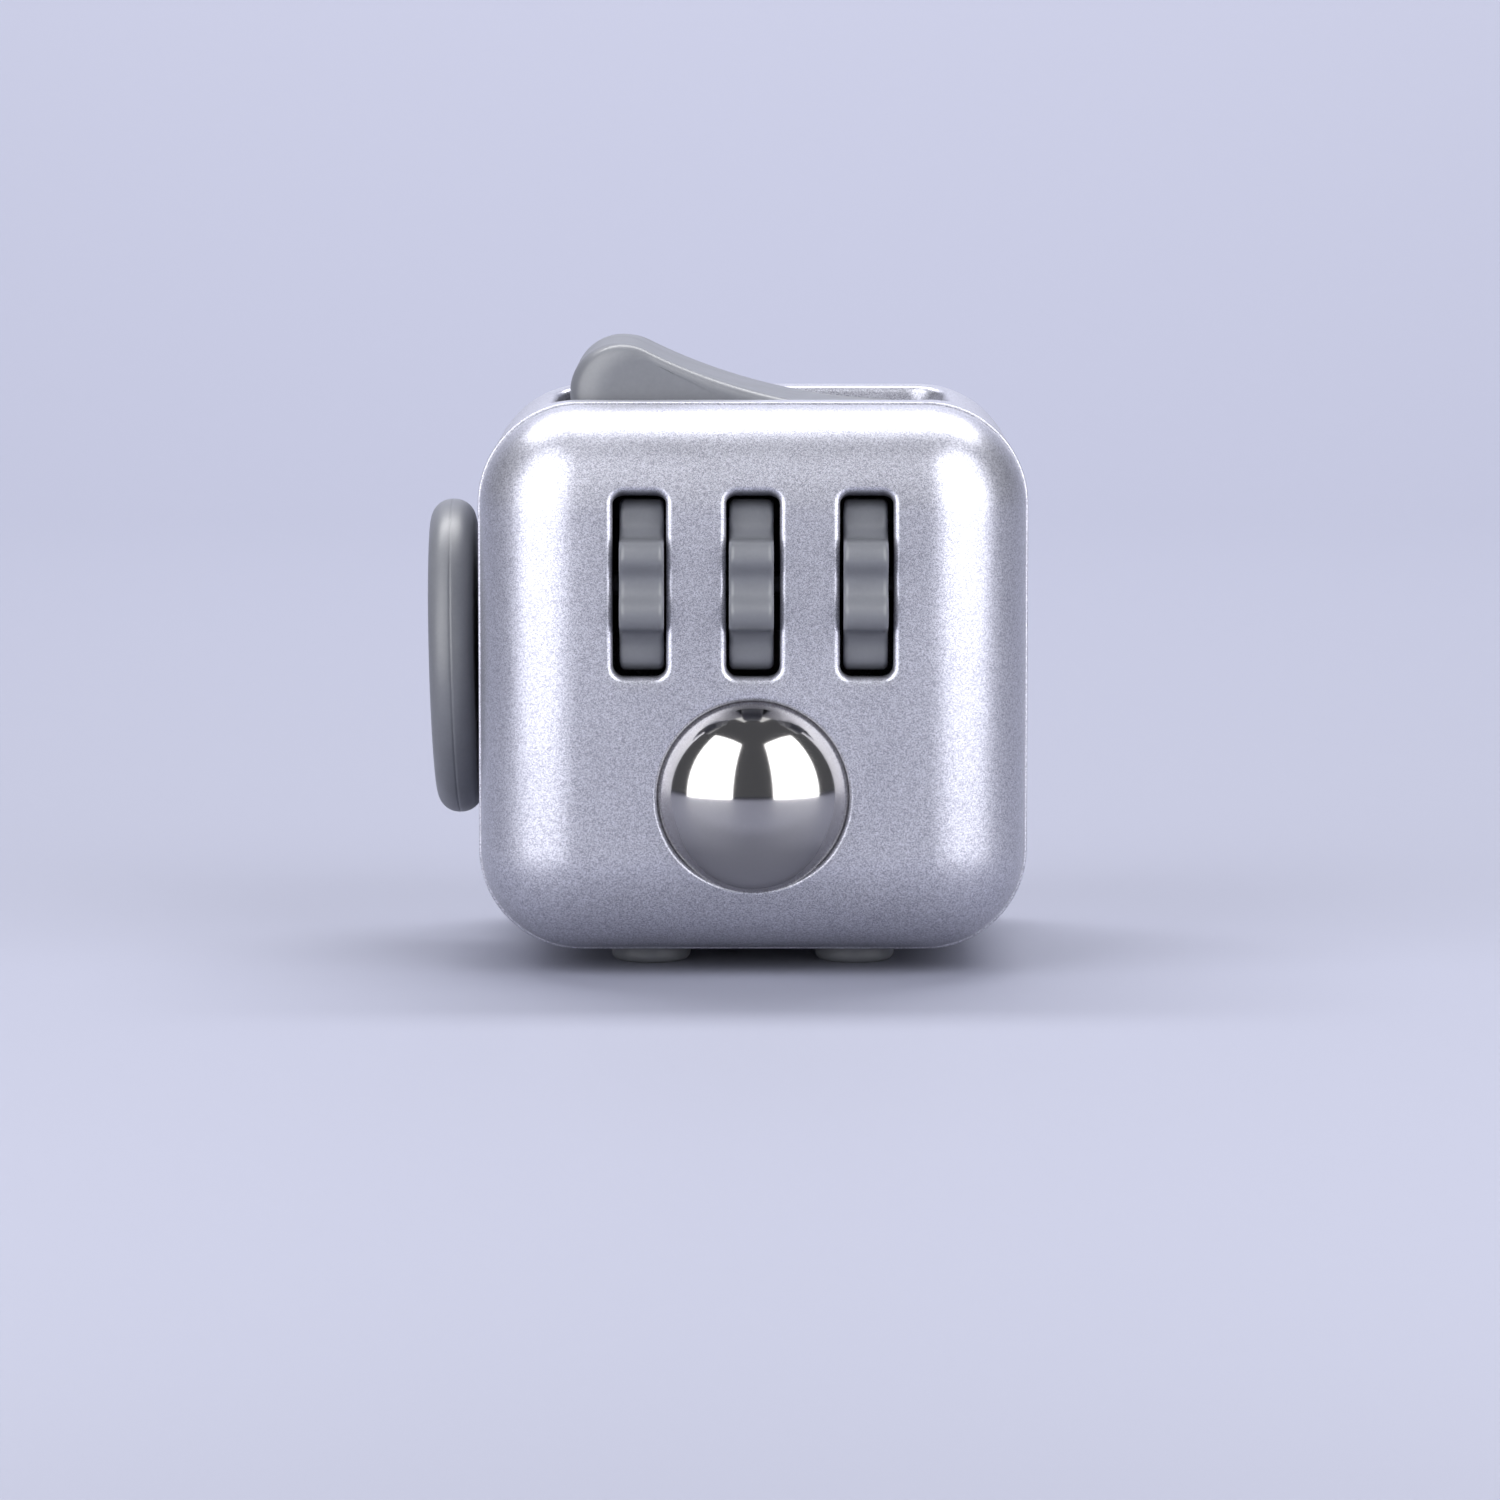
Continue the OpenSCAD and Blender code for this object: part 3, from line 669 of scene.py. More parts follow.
    def band_lip(self, wall: BandWall, half: float, sign: int) -> Patch:
        """Edge of the strip at one seam.

        Args:
            wall: the strip.
            half: half its width.
            sign: -1 for the front seam and 1 for the rear one.

        Returns:
            The patch.
        """
        lip = self.lip()
        a = np.linspace(wall.start, wall.end, self.band_steps)
        places = np.repeat(a[None], len(lip), axis=0)
        across = sign * (half + np.repeat(lip[:, :1], len(a), axis=1))
        depth = np.repeat(lip[:, 1:], len(a), axis=1)
        return grid_patch(wall.place(places, across, depth))


# ---------------------------------------------------------------- toys on the sides


@dataclass
class Wheels:
    """Three toothed wheels on one axle.

    At angle u a wheel's radius is mean + swing x tanh(k c) / tanh(k) with c = -cos(n (u - turn)). The
    factor k makes the teeth broad with steep sides, and u is counted from the front, upwards.
    """

    tip_r: float = 5.4
    root_r: float = 4.4
    steep: float = 1.2
    turn: float = 3.0
    width: float = 2.65
    teeth: int = 8
    bore_r: float = 0.8
    edge_r: float = 0.35
    behind_face: float = 3.8
    up: float = 5.8
    places: dict[str, float] = field(
        default_factory=lambda: {"wheel_left": -6.6, "wheel_middle": -0.1, "wheel_right": 6.68}
    )

    def build(self, finish: "Finish") -> None:
        """Makes the wheels and dresses them.

        Args:
            finish: the finish of the wheels.
        """
        for name, x in self.places.items():
            dress(self.wheel(name, x), finish)

    def wheel(self, name: str, x: float) -> bpy.types.Object:
        """One wheel: its rim and both faces as loops of equal angle, drawn in by the rounding at the edges.

        Args:
            name: the body and node that the wheel stands for.
            x: place of its middle.

        Returns:
            The piece.
        """
        u = np.linspace(0, 2 * math.pi, 240, endpoint=False)
        c = -np.cos(self.teeth * (u - math.radians(self.turn)))
        swing = (self.tip_r - self.root_r) / 2
        rim = self.root_r + swing + swing * np.tanh(self.steep * c) / math.tanh(self.steep)
        half = self.width / 2
        over = corner_arc((self.edge_r, half - self.edge_r), self.edge_r, 90, 180, 6)
        edge = chain(over, over[::-1] * [1, -1])
        loops = [np.stack([self.bore_r + 0 * u, np.full_like(u, half)], axis=-1)]
        loops += [np.stack([rim * k, np.full_like(u, half)], axis=-1) for k in (0.5, 0.8)]
        loops += [np.stack([rim - inset, np.full_like(u, h)], axis=-1) for inset, h in edge]
        loops += [np.stack([rim * k, np.full_like(u, -half)], axis=-1) for k in (0.8, 0.5)]
        loops += [np.stack([self.bore_r + 0 * u, np.full_like(u, -half)], axis=-1)]
        loops += [loops[0]]
        grid = np.array(loops)
        radius, along = grid[..., 0], grid[..., 1]
        y = -CUBE.half + self.behind_face - radius * np.cos(u)
        z = self.up + radius * np.sin(u)
        patch = grid_patch(np.stack([x + along, y, z], axis=-1), wrap=True)
        return make_piece(name + "_shaped", [patch], name, [name])


@dataclass
class Ball:
    """Steel ball: the sphere (r sin v cos u, r sin v sin u, r cos v), with its poles in the ball's sides."""

    r: float = 6.35
    behind_face: float = 3.0

    def build(self, finish: "Finish") -> None:
        """Makes the ball and dresses it.

        Args:
            finish: the finish of the ball.
        """
        v = np.linspace(0, math.pi, 97)
        profile = np.stack([self.r * np.sin(v), self.r * np.cos(v)], axis=-1)
        grid = turned(revolve(profile, 192), ALONG_X)
        grid = grid + [0, -CUBE.half + self.behind_face, -CUBE.ball_down]
        dress(make_piece("ball_polished", [grid_patch(grid, wrap=True)], "ball", ["ball"]), finish)


@dataclass
class GlidePad:
    """Gliding pad: a disc with a full round rim, a fine line round its middle and a low crown on its face.

    The disc hangs out of square by the angle droop, its lower edge closer to the cube; its stem is square.
    """

    r: float = 9.65
    thickness: float = 2.85
    rim_r: float = 1.3
    gap: float = 0.35
    stem_r: float = 1.7
    stem_clear: float = 0.1
    neck: float = 1.0
    line: float = 0.03
    crown: float = 0.12
    droop: float = 1.4

    def build(self, finish: "Finish") -> None:
        """Makes the pad and its stem, and dresses them.

        Args:
            finish: the finish of the pad.
        """
        inner = CUBE.half + self.gap
        outer = inner + self.thickness
        flat = self.r - self.rim_r
        across = np.linspace(0, flat, 14)[1:]
        face = np.stack([across, outer - self.crown * (across / flat) ** 2], axis=-1)
        top = corner_arc((flat, outer - self.crown - self.rim_r), self.rim_r, 90, 4, 10)[1:]
        bottom = corner_arc((flat, inner + self.rim_r), self.rim_r, -4, -90, 10)
        middle = (outer - self.crown + inner) / 2
        groove = [[self.r, middle + self.line], [self.r - self.line, middle], [self.r, middle - self.line]]
        foot = CUBE.half - CUBE.wall + self.stem_clear
        stem = [[self.stem_r, inner], [self.stem_r, foot], [0, foot]]
        profile = chain([0, outer], face, top, groove, bottom, [self.stem_r + self.neck, inner], stem)
        grid = turned(revolve(profile, 160), ALONG_MINUS_X)
        a = math.radians(self.droop)
        hang = [(math.cos(a), 0, -math.sin(a)), (0, 1, 0), (math.sin(a), 0, math.cos(a))]
        disc = slice(0, len(profile) - len(stem))
        grid[disc] = turned(grid[disc] + [inner, 0, 0], hang) - [inner, 0, 0]
        patch = grid_patch(grid + [0, 0, CUBE.pad_up], wrap=True)
        dress(make_piece("glide_pad_disc", [patch], "glide_pad", ["glide_pad"]), finish)


@dataclass
class Rocker:
    """Flip switch: a saddle between two round lobes, carried across its width.

    The level outline is a loop of lobe, saddle, lobe and flat underside. Across the width its length shrinks
    by the plan's corner rounding, c - sqrt(c c - e e), where e is how far the station lies past the corner's
    centre, and the outline is drawn in along its normals by the rounding of the side edges.
    """

    half_length: float = 11.4
    width: float = 15.0
    lobe_r: float = 3.0
    lobe_up: float = 0.3
    saddle: float = 2.42
    under: float = -1.6
    plan_r: float = 1.7
    edge_r: float = 0.7
    pivot_below: float = 2.0
    tilt: float = 14.2

    def outline(self) -> tuple[np.ndarray, np.ndarray]:
        """Loop of the level side view, and its outward normals.

        Returns:
            Points (n, 2) and normals (n, 2), anticlockwise.
        """
        lobe_x = self.half_length - self.lobe_r
        rise = self.saddle - self.lobe_up
        big = (lobe_x**2 + rise**2 - self.lobe_r**2) / (2 * (self.lobe_r - rise))
        meet = math.degrees(math.atan2(rise + big, -lobe_x)) - 90
        low = math.degrees(math.asin((self.under - self.lobe_up) / self.lobe_r))
        right = corner_arc((lobe_x, self.lobe_up), self.lobe_r, low, 90 + meet, 30)
        saddle = corner_arc((0, self.saddle + big), big, 270 + meet, 270 - meet, 24)[1:-1]
        left = corner_arc((-lobe_x, self.lobe_up), self.lobe_r, 90 - meet, 180 - low, 30)
        floor_x = np.linspace(left[-1, 0], right[0, 0], 16)[1:-1]
        floor = np.stack([floor_x, np.full_like(floor_x, self.under)], axis=-1)
        loop = np.concatenate([right, saddle, left, floor])
        run = np.roll(loop, -1, axis=0) - np.roll(loop, 1, axis=0)
        run /= np.hypot(run[:, 0], run[:, 1])[:, None]
        return loop, np.stack([run[:, 1], -run[:, 0]], axis=-1)

    def build(self, finish: "Finish") -> None:
        """Makes the rocker at its tilt and dresses it.

        Args:
            finish: the finish of the rocker.
        """
        loop, normal = self.outline()
        half = self.width / 2
        straight = half - self.plan_r
        round_part = straight + self.plan_r * np.sin(np.radians(np.linspace(0, 90, 30)))
        across = np.concatenate([np.linspace(0, straight, 8)[:-1], round_part])
        across = np.concatenate([-across[:0:-1], across])
        past = np.maximum(np.abs(across) - straight, 0)
        shrink = self.plan_r - np.sqrt(np.maximum(self.plan_r**2 - past**2, 0))
        edge = np.maximum(np.abs(across) - (half - self.edge_r), 0)
        inset = self.edge_r - np.sqrt(np.maximum(self.edge_r**2 - edge**2, 0))
        scale = (self.half_length - shrink) / self.half_length
        u = loop[None, :, 0] * scale[:, None] - normal[None, :, 0] * inset[:, None]
        v = np.broadcast_to(loop[None, :, 1], u.shape) - normal[None, :, 1] * inset[:, None]
        y = np.broadcast_to(across[:, None], u.shape)
        grid = np.stack([u, y, v], axis=-1)
        ends = []
        for row in (0, -1):
            middle = grid[row].mean(axis=0)
            rings = np.linspace(1, 0, 6)[:, None, None]
            ends.append(grid_patch(middle + (grid[row] - middle) * rings, wrap=True))
        a = math.radians(self.tilt)
        tilt = [(math.cos(a), 0, math.sin(a)), (0, 1, 0), (-math.sin(a), 0, math.cos(a))]
        patches = [grid_patch(grid, wrap=True), *ends]
        for patch in patches:
            patch.points = turned(patch.points, tilt) + [0, 0, CUBE.half - self.pivot_below]
        dress(make_piece("flip_rocker_cap", patches, "flip_rocker", ["flip_rocker"]), finish)


@dataclass
class Buttons:
    """Five click buttons under the cube, each turned from one profile."""

    r: float = 2.4
    out: float = 1.2
    edge_r: float = 0.5
    flange_r: float = 3.1
    flange_t: float = 0.7
    stem_r: float = 0.9
    stem_top: float = -11.0
    flange_gap: float = 0.05

    def places(self) -> dict[str, tuple[float, float]]:
        """Where each button is, by the end of its name."""
        outer = {
            f"{depth}_{side}": (i * CUBE.button_pos, j * CUBE.button_pos)
            for j, depth in ((-1, "front"), (1, "back"))
            for i, side in ((-1, "left"), (1, "right"))
        }
        return {"centre": (0, 0)} | outer

    def build(self, finish: "Finish") -> None:
        """Makes the buttons and dresses them.

        Args:
            finish: the finish of the buttons.
        """
        tip = -CUBE.half - self.out
        under = -CUBE.half + CUBE.wall + self.flange_gap
        edge = corner_arc((self.r - self.edge_r, tip + self.edge_r), self.edge_r, 270, 360, 8)
        profile = chain(
            [0, tip], [0.5 * self.r, tip], edge, [self.r, under], [self.flange_r, under],
            [self.flange_r, under + self.flange_t], [self.stem_r, under + self.flange_t],
            [self.stem_r, self.stem_top], [0, self.stem_top],
        )
        for place, (x, y) in self.places().items():
            name = "button_" + place
            patch = grid_patch(revolve(profile, 72) + [x, y, 0], wrap=True)
            dress(make_piece(name + "_shaped", [patch], name, [name]), finish)


@dataclass
class Springs:
    """Coil springs of round wire under the buttons and behind the ball, which shorten as they are pressed.

    A ring of the wire at angle a lies at (R + w cos b) (cos a, sin a), and w sin b above its middle, which
    climbs evenly with a.
    """

    turns: int = 3
    button_coil: tuple[float, float] = (1.6, 0.16)
    button_ends: tuple[float, float] = (-13.95, -11.6)
    button_press: float = 1.2
    ball_coil: tuple[float, float] = (2.2, 0.2)
    ball_ends: tuple[float, float] = (-6.1, -3.4)
    ball_press: float = 0.8
    slack: float = 0.02

    def coil(self, size: tuple[float, float], ends: tuple[float, float]) -> list[np.ndarray]:
        """One coil along Z.

        Args:
            size: radius of the coil and of its wire.
            ends: where it starts and ends.

        Returns:
            The wire's skin and its two ends, each as rows of points.
        """
        coil_r, wire_r = size
        low, high = ends[0] + self.slack + wire_r, ends[1] - self.slack - wire_r
        a = np.linspace(0, 2 * math.pi * self.turns, 24 * self.turns + 1)[:, None]
        b = np.linspace(0, 2 * math.pi, 10, endpoint=False)[None]
        out = coil_r + wire_r * np.cos(b)
        climb = low + (high - low) * a / a[-1]
        skin = np.stack([out * np.cos(a), out * np.sin(a), climb + wire_r * np.sin(b)], axis=-1)
        rings = np.array([1.0, 0.5, 0.0])[:, None, None]
        middles = [skin[row].mean(axis=0) for row in (0, -1)]
        return [skin] + [middle + (skin[row] - middle) * rings for row, middle in zip((0, -1), middles)]

    def make(
        self, node: str, sheets: list[np.ndarray], axis: tuple[int, int, int], squeeze: tuple
    ) -> None:
        """Makes one spring.

        Args:
            node: the node it stands for.
            sheets: its surfaces.
            axis: the way it shortens.
            squeeze: its fixed end, its length and how far it is pressed.
        """
        fixed, length, press = squeeze
        patches = [grid_patch(sheet, wrap=True) for sheet in sheets]
        piece = make_piece(node + "_coil", patches, "shell", [node])
        dress(piece, DRAWN_STEEL)
        anchor = [k * fixed * MM for k in axis]
        anchor[2] += CUBE.centre_z * MM
        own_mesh(piece)

    def build(self) -> None:
        """Makes the five button springs and the ball's spring."""
        low, high = self.button_ends
        for place, (x, y) in Buttons().places().items():
            sheets = [sheet + [x, y, 0] for sheet in self.coil(self.button_coil, self.button_ends)]
            squeeze = (high, high - low, self.button_press)
            self.make("spring_" + place, sheets, (0, 0, 1), squeeze)
        low, high = self.ball_ends
        coil = self.coil(self.ball_coil, self.ball_ends)
        sheets = [turned(sheet, ALONG_Y) + [0, 0, -CUBE.ball_down] for sheet in coil]
        self.make("ball_spring", sheets, (0, 1, 0), (high, high - low, self.ball_press))


@dataclass
class Dial:
    """Spinning dial: a disc with a rounded edge and a dimple for a fingertip.

    The face sinks by depth (1 - q q) squared-off softly, where q is the distance from the dimple's middle
    in units of its radius. The sinking falls away between q = 1 and the dimple's reach.
    """

    r: float = 8.8
    thickness: float = 2.2
    edge_r: float = 0.8
    gap: float = 0.3
    shaft_r: float = 2.5
    shaft_in: float = 3.5
    chamfer: float = 0.2
    dimple_r: float = 2.6
    dimple_depth: float = 1.0
    dimple_up: float = 5.2
    dimple_soft: float = 0.05
    dimple_reach: float = 1.3

    def build(self, finish: "Finish") -> None:
        """Makes the dial and dresses it.

        Args:
            finish: the finish of the dial.
        """
        inner = CUBE.half + self.gap
        face = inner + self.thickness
        flat = self.r - self.edge_r
        across = np.linspace(0, flat, 64)
        top = np.stack([across, np.full_like(across, face)], axis=-1)
        over = corner_arc((flat, face - self.edge_r), self.edge_r, 90, 0, 8)[1:]
        foot = CUBE.half - self.shaft_in
        profile = chain(
            top, over, [self.r, inner + self.chamfer], [self.r - self.chamfer, inner],
            [self.shaft_r, inner], [self.shaft_r, foot], [0, foot],
        )
        grid = revolve(profile, 256)
        q = np.hypot(grid[..., 0], grid[..., 1] + self.dimple_up) / self.dimple_r
        fade = 1 - q * q
        soft = (fade + np.sqrt(fade * fade + self.dimple_soft**2)) / 2
        on_face = (np.arange(len(profile)) < len(across))[:, None] & (q < self.dimple_reach)
        fall = np.clip((self.dimple_reach - q) / (self.dimple_reach - 1), 0, 1)
        grid[..., 2] -= np.where(on_face, self.dimple_depth * soft * fall, 0)
        grid = turned(grid, ALONG_Y)
        dress(make_piece("dial_disc", [grid_patch(grid, wrap=True)], "dial", ["dial"]), finish)


# ---------------------------------------------------------------- finishes


def add_node(tree: bpy.types.NodeTree, kind: str, **inputs: object) -> bpy.types.Node:
    """Adds a node and sets its inputs by name: a socket is linked, and anything else is a value.

    Args:
        tree: the node tree.
        kind: the node's type.
        inputs: values or output sockets, with spaces in names written as underscores.

    Returns:
        The node.
    """
    node = tree.nodes.new(kind)
    for name, value in inputs.items():
        numbered = name[0] == "i" and name[1:].isdigit()
        socket = node.inputs[int(name[1:]) if numbered else name.replace("_", " ")]
        if isinstance(value, bpy.types.NodeSocket):
            tree.links.new(value, socket)
        else:
            socket.default_value = value
    return node


def maths(
    tree: bpy.types.NodeTree, operation: str, first: object, second: object
) -> bpy.types.NodeSocket:
    """Adds one Math node.

    Args:
        tree: the node tree.
        operation: name of the operation.
        first: value or socket.
        second: value or socket.

    Returns:
        Its output socket.
    """
    node = add_node(tree, "ShaderNodeMath", i0=first, i1=second)
    node.operation = operation
    return node.outputs[0]


def new_group(name: str, inputs: dict[str, float], outputs: list[str]) -> tuple:
    """Starts a node group whose inputs are numbers and whose outputs are values.

    Args:
        name: name of the group.
        inputs: names and default values.
        outputs: names of the outputs.

    Returns:
        The group, its input node and its output node.
    """
    group = bpy.data.node_groups.new(name, "ShaderNodeTree")
    for label, value in inputs.items():
        socket = group.interface.new_socket(label, in_out="INPUT", socket_type="NodeSocketFloat")
        socket.default_value = value
    for label in outputs:
        group.interface.new_socket(label, in_out="OUTPUT", socket_type="NodeSocketFloat")
    return group, group.nodes.new("NodeGroupInput"), group.nodes.new("NodeGroupOutput")


def flake_group() -> bpy.types.NodeTree:
    """Metal flakes: each small cell gets its own brightness from 0 to 1, and its own tilt as a height."""
    group, given, result = new_group("metal flakes", {"Scale": 18000.0}, ["Sparkle", "Height"])
    place = group.nodes.new("ShaderNodeTexCoord").outputs["Object"]
    cells = add_node(group, "ShaderNodeTexVoronoi", Vector=place, Scale=given.outputs["Scale"])
    parts = add_node(group, "ShaderNodeSeparateColor", Color=cells.outputs["Color"])
    cloud = add_node(group, "ShaderNodeTexNoise", Vector=place, Scale=8000.0, Detail=2.0)
    mixed = maths(group, "MULTIPLY_ADD", parts.outputs[0], 0.7)
    group.links.new(maths(group, "MULTIPLY", cloud.outputs["Fac"], 0.3), mixed.node.inputs[2])
    group.links.new(mixed, result.inputs["Sparkle"])
    group.links.new(parts.outputs[1], result.inputs["Height"])
    return group


def grain_group() -> bpy.types.NodeTree:
    """Moulded grain: fine noise over coarse noise, for the height and for the mask alike."""
    group, given, result = new_group("moulded grain", {"Fine": 5000.0, "Coarse": 900.0}, ["Pattern"])
    place = group.nodes.new("ShaderNodeTexCoord").outputs["Object"]
    fine = add_node(group, "ShaderNodeTexNoise", Vector=place, Scale=given.outputs["Fine"], Detail=4.0)
    coarse = add_node(group, "ShaderNodeTexNoise", Vector=place, Scale=given.outputs["Coarse"], Detail=2.0)
    both = maths(group, "ADD", maths(group, "MULTIPLY", fine.outputs["Fac"], 0.6),
                 maths(group, "MULTIPLY", coarse.outputs["Fac"], 0.4))
    group.links.new(both, result.inputs["Pattern"])
    return group


def handling_group() -> bpy.types.NodeTree:
    """Marks of handling: soft smudges that change the roughness between a low and a high value."""
    inputs = {"Size": 120.0, "Low": 0.3, "High": 0.4}
    group, given, result = new_group("handling marks", inputs, ["Roughness"])
    place = group.nodes.new("ShaderNodeTexCoord").outputs["Object"]
    size = given.outputs["Size"]
    cloud = add_node(group, "ShaderNodeTexNoise", Vector=place, Scale=size, Detail=5.0, Distortion=0.6)
    spread = add_node(group, "ShaderNodeMapRange", Value=cloud.outputs["Fac"])
    spread.inputs["From Min"].default_value = 0.35
    spread.inputs["From Max"].default_value = 0.65
    group.links.new(given.outputs["Low"], spread.inputs["To Min"])
    group.links.new(given.outputs["High"], spread.inputs["To Max"])
    group.links.new(spread.outputs["Result"], result.inputs["Roughness"])
    return group


@dataclass(frozen=True)
class Effects:
    """The node groups that the finishes share."""

    flakes: bpy.types.NodeTree
    grain: bpy.types.NodeTree
    handling: bpy.types.NodeTree


def use_group(tree: bpy.types.NodeTree, group: bpy.types.NodeTree, **values: float) -> bpy.types.Node:
    """Places a shared group in a material with its own values.

    Args:
        tree: the material's tree.
        group: the shared group.
        values: its inputs.

    Returns:
        The group's node.
    """
    node = tree.nodes.new("ShaderNodeGroup")
    node.node_tree = group
    for name, value in values.items():
        node.inputs[name].default_value = value
    return node


@dataclass(frozen=True)
class Finish:
    """Base of all finishes: two shades of one colour, a range of roughness, and a bump."""

    name: str
    dark: tuple[float, float, float]
    light: tuple[float, float, float]
    rough: tuple[float, float]
    metallic: float = 0.0
    coat: float = 0.0
    bump: float = 0.1
    coat_rough: float = 0.25
    bump_height: float = 0.00002
    smudge_size: float = 120.0

    def pattern(self, tree: bpy.types.NodeTree, effects: Effects) -> tuple:
        """The mask that mixes the two shades, and the height of the bump.

        Args:
            tree: the material's tree.
            effects: the shared groups.

        Returns:
            Mask socket and height socket.
        """
        pattern = use_group(tree, effects.grain).outputs["Pattern"]
        return pattern, pattern

    def material(self, effects: Effects) -> bpy.types.Material:
        """Builds the material.

        Args:
            effects: the shared groups.

        Returns:
            The material.
        """
        material = bpy.data.materials.new(self.name)
        material.use_nodes = True
        tree = material.node_tree
        shader = tree.nodes["Principled BSDF"]
        mask, height = self.pattern(tree, effects)
        low, high = self.rough
        marks = use_group(tree, effects.handling, Size=self.smudge_size, Low=low, High=high)
        mix = tree.nodes.new("ShaderNodeMix")
        mix.data_type = "RGBA"
        mix.inputs[6].default_value = (*self.dark, 1)
        mix.inputs[7].default_value = (*self.light, 1)
        tree.links.new(mask, mix.inputs[0])
        tree.links.new(mix.outputs[2], shader.inputs["Base Color"])
        tree.links.new(marks.outputs["Roughness"], shader.inputs["Roughness"])
        shader.inputs["Metallic"].default_value = self.metallic
        shader.inputs["Coat Weight"].default_value = self.coat
        shader.inputs["Coat Roughness"].default_value = self.coat_rough
        bump = add_node(tree, "ShaderNodeBump", Height=height, Strength=self.bump, Distance=self.bump_height)
        tree.links.new(bump.outputs["Normal"], shader.inputs["Normal"])
        return material


@dataclass(frozen=True)
class FlakePaint(Finish):
    """Metallic paint, whose two shades are mixed flake by flake."""

    def pattern(self, tree: bpy.types.NodeTree, effects: Effects) -> tuple:
        """Flakes in place of the moulded grain."""
        node = use_group(tree, effects.flakes)
        return node.outputs["Sparkle"], node.outputs["Height"]


MATERIALS: dict[str, bpy.types.Material] = {}
EFFECTS: list[Effects] = []


def dress(piece: bpy.types.Object, finish: Finish) -> None:
    """Gives a piece its finish in place of all its material slots.

    Args:
        piece: the object.
        finish: the finish.
    """
    if not EFFECTS:
        EFFECTS.append(Effects(flake_group(), grain_group(), handling_group()))
    if finish.name not in MATERIALS:
        MATERIALS[finish.name] = finish.material(EFFECTS[0])
    piece.data.materials.clear()
    piece.data.materials.append(MATERIALS[finish.name])


SILVER_PAINT = FlakePaint(
    "silver_paint", (0.17, 0.173, 0.21), (0.6, 0.605, 0.687), (0.34, 0.39), metallic=0.75, coat=0.1, bump=0.1
)
SATIN_PLASTIC = Finish("satin_plastic", (0.09, 0.094, 0.108), (0.12, 0.125, 0.142), (0.36, 0.44), bump=0.12)
INNER_PLASTIC = Finish("inner_plastic", (0.014, 0.014, 0.016), (0.024, 0.024, 0.027), (0.5, 0.65), bump=0.2)
POLISHED_STEEL = Finish(
    "polished_steel", (0.38, 0.37, 0.365), (0.43, 0.42, 0.415), (0.08, 0.11), metallic=1.0, bump=0.01
)
DRAWN_STEEL = Finish("drawn_steel", (0.4, 0.4, 0.41), (0.55, 0.55, 0.56), (0.25, 0.4), metallic=1.0, bump=0.1)
BLACK_STEEL = Finish(
    "black_steel", (0.03, 0.03, 0.033), (0.05, 0.05, 0.054), (0.4, 0.5), metallic=0.8, bump=0.1
)
BLACK_NODES = ("wheel_axle", "wheel_spring")


def dress_inner_pieces(nodes: dict[str, bpy.types.Object], record: dict) -> None:
    """Gives each remaining node of the frame the finish of its material slot.

    Args:
        nodes: the frame's nodes.
        record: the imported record.
    """
    finishes = {
        "body": SILVER_PAINT, "control": SATIN_PLASTIC, "inner_plastic": INNER_PLASTIC,
        "ball": POLISHED_STEEL, "steel": DRAWN_STEEL,
    }
    for part in record["subparts"]:
        finish = finishes[part["material_slot"]]
        dress(nodes[part["node"]], BLACK_STEEL if part["node"] in BLACK_NODES else finish)
        LOG.info("%s: %s", part["node"], part["material_slot"])


# ---------------------------------------------------------------- stage


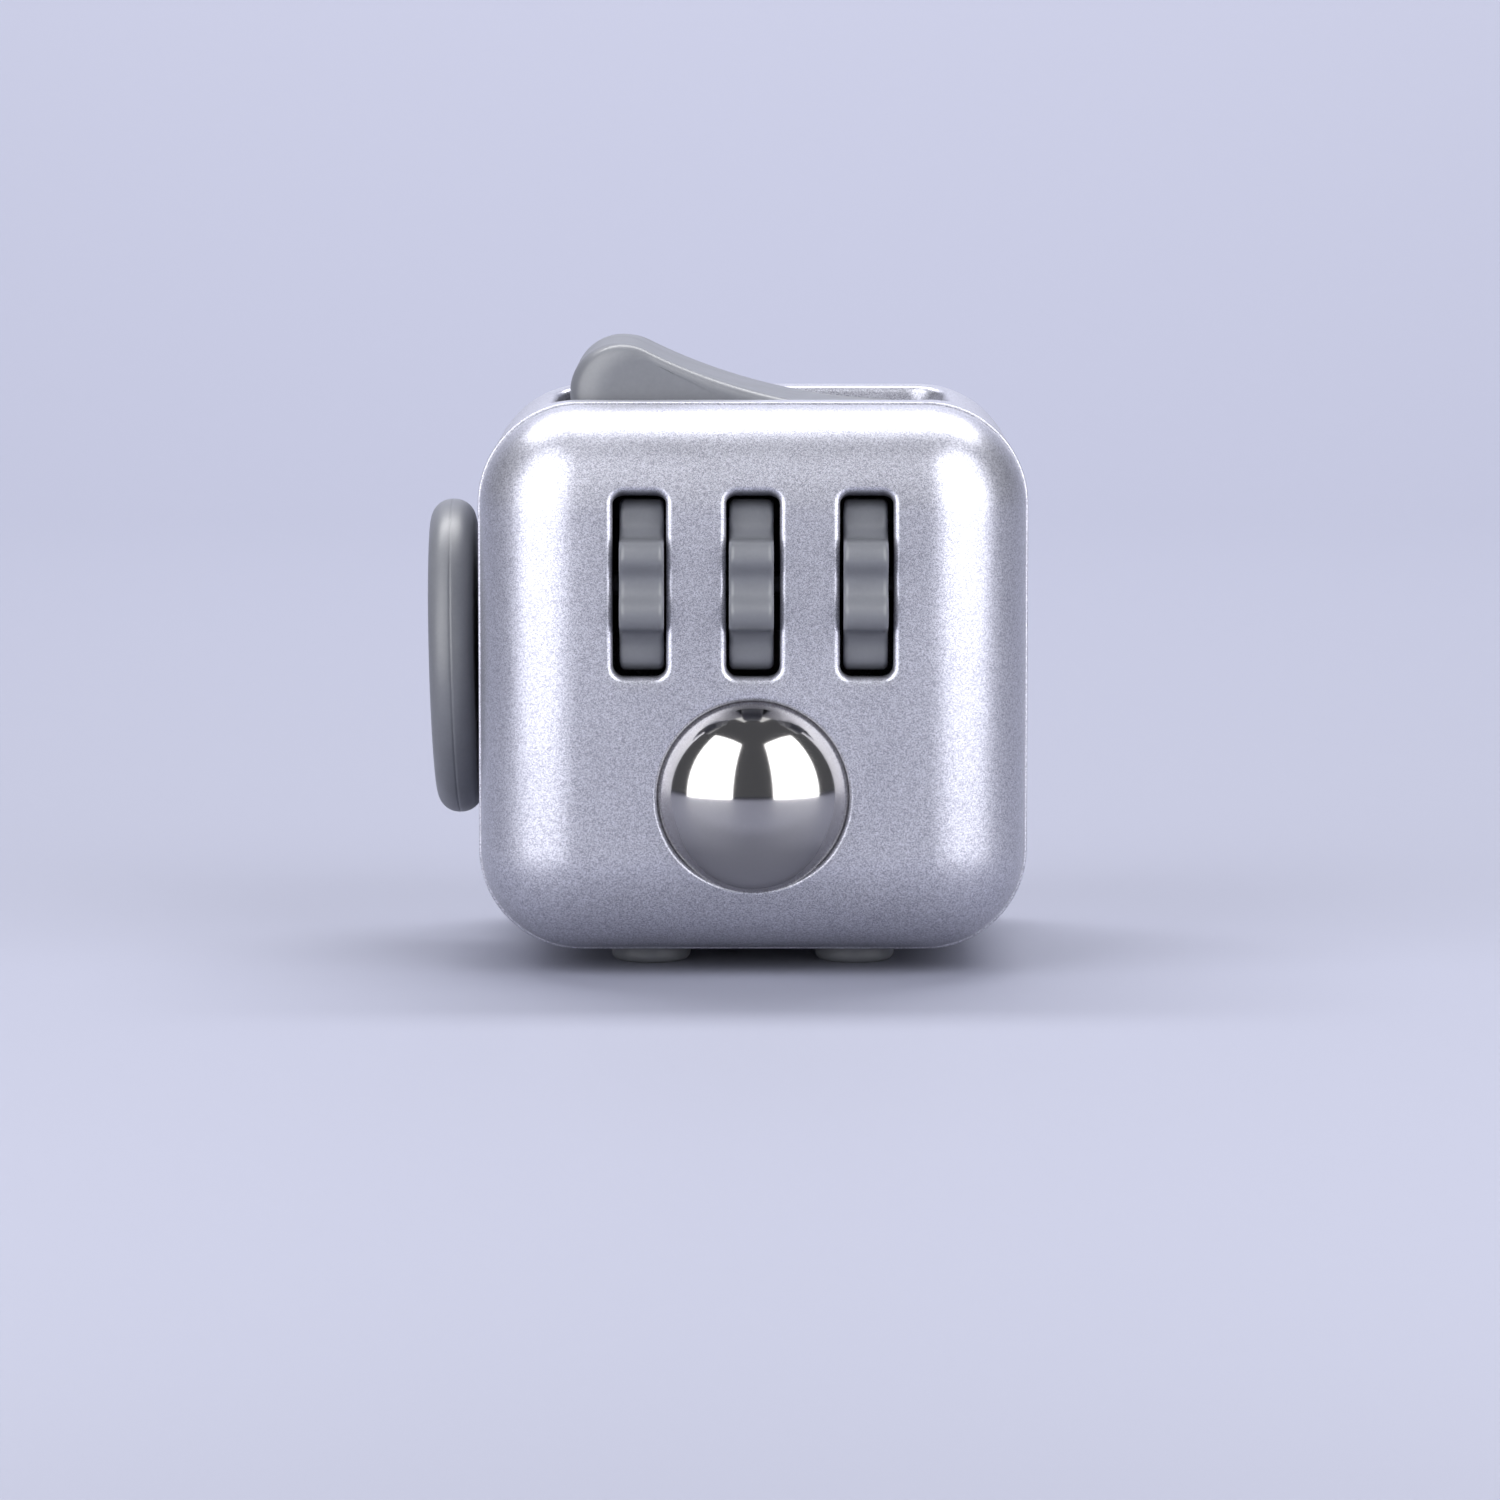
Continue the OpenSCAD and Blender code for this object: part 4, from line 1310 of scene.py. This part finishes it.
@dataclass
class Studio:
    """Pale floor and backdrop, soft lights, and the camera."""

    camera_back: float = 400.0
    camera_height: float = 56.5
    camera_x: float = -0.18
    pitch: float = 6.08
    lens: float = 162.8
    floor_reach: float = 3.0
    bend_r: float = 0.3
    bend_start: float = 0.35
    backdrop_top: float = 1.6
    floor_shade: tuple[float, float, float] = (0.2, 0.207, 0.268)
    sky_shade: tuple[float, float, float] = (0.85, 0.87, 0.95)
    sky_strength: float = 0.17

    def build(self) -> None:
        """Sets up the floor, the lights, the world and the camera."""
        self.floor()
        self.lights()
        self.world()
        self.camera()

    def floor(self) -> None:
        """One sheet that lies flat and then curves up behind: a quarter round between two straight runs."""
        bend = corner_arc((self.bend_start, self.bend_r), self.bend_r, 270, 360, 24)
        back = self.bend_start + self.bend_r
        profile = chain([-self.floor_reach, 0], bend, [back, self.backdrop_top])
        x = np.array([-self.floor_reach, self.floor_reach])
        grid = np.stack(
            [
                np.repeat(x[None], len(profile), axis=0),
                np.repeat(profile[:, :1], 2, axis=1),
                np.repeat(profile[:, 1:], 2, axis=1),
            ],
            axis=-1,
        )
        patch = grid_patch(grid, flip=True)
        mesh = bpy.data.meshes.new("floor_sheet")
        mesh.from_pydata(patch.points.tolist(), [], patch.faces.tolist())
        mesh.shade_smooth()
        floor = bpy.data.objects.new("floor_sheet", mesh)
        bpy.context.scene.collection.objects.link(floor)
        material = bpy.data.materials.new("pale_paper")
        material.use_nodes = True
        shader = material.node_tree.nodes["Principled BSDF"]
        shader.inputs["Base Color"].default_value = (*self.floor_shade, 1)
        shader.inputs["Roughness"].default_value = 0.6
        mesh.materials.append(material)

    def lights(self) -> None:
        """Tall soft boxes to the left and right, a pair side by side above, and one for the backdrop."""
        for side in (-1, 1):
            side_place = (side * 0.152, -0.145, 0.17)
            self.soft_box(f"side box {side}", side_place, (0.21, 0.34), 1.12, (0, 0, 0.16))
            self.soft_box(f"top box {side}", (side * 0.105, 0.12, 0.36), (0.13, 0.34), 0.18)
        self.soft_box("backdrop box", (0, 0.3, 0.62), (0.9, 0.2), 11.0, (0, 0.55, 0))

    def soft_box(
        self,
        name: str,
        place: tuple[float, float, float],
        size: tuple[float, float],
        watts: float,
        target: tuple[float, float, float] = (0, 0, CUBE.centre_z * MM),
    ) -> None:
        """One rectangular light.

        Args:
            name: its name.
            place: its middle, in metres.
            size: its width and height, in metres.
            watts: its power.
            target: where it points.
        """
        light = bpy.data.lights.new(name, "AREA")
        light.shape = "RECTANGLE"
        light.size, light.size_y = size
        light.energy = watts
        lamp = bpy.data.objects.new(name, light)
        lamp.location = place
        aim = Vector(target) - Vector(place)
        lamp.rotation_euler = aim.to_track_quat("-Z", "Y").to_euler()
        bpy.context.scene.collection.objects.link(lamp)

    def world(self) -> None:
        """Even pale grey light from all round."""
        world = bpy.data.worlds.new("studio")
        world.use_nodes = True
        sky = world.node_tree.nodes["Background"]
        sky.inputs["Color"].default_value = (*self.sky_shade, 1)
        sky.inputs["Strength"].default_value = self.sky_strength
        bpy.context.scene.world = world

    def camera(self) -> None:
        """Camera in front of the cube, level from side to side and looking slightly down."""
        data = bpy.data.cameras.new("camera")
        data.sensor_width = 36
        data.lens = self.lens
        data.clip_start = 0.01
        camera = bpy.data.objects.new("camera", data)
        camera.location = (self.camera_x * MM, -(CUBE.half + self.camera_back) * MM, self.camera_height * MM)
        camera.rotation_euler = (math.radians(90 - self.pitch), 0, 0)
        bpy.context.scene.collection.objects.link(camera)
        bpy.context.scene.camera = camera
        bpy.context.scene.view_settings.view_transform = "Standard"


def main() -> None:
    """Builds the pieces in order, dresses them and sets the stage."""
    logging.basicConfig(level=logging.INFO, format="%(name)s: %(message)s")
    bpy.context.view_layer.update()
    dress_inner_pieces(frame["nodes"], frame["record"])
    Body().build(SILVER_PAINT)
    Wheels().build(SATIN_PLASTIC)
    Ball().build(POLISHED_STEEL)
    GlidePad().build(SATIN_PLASTIC)
    Rocker().build(SATIN_PLASTIC)
    Buttons().build(SATIN_PLASTIC)
    Springs().build()
    Dial().build(SATIN_PLASTIC)
    Studio().build()


if __name__ == "__main__":
    main()
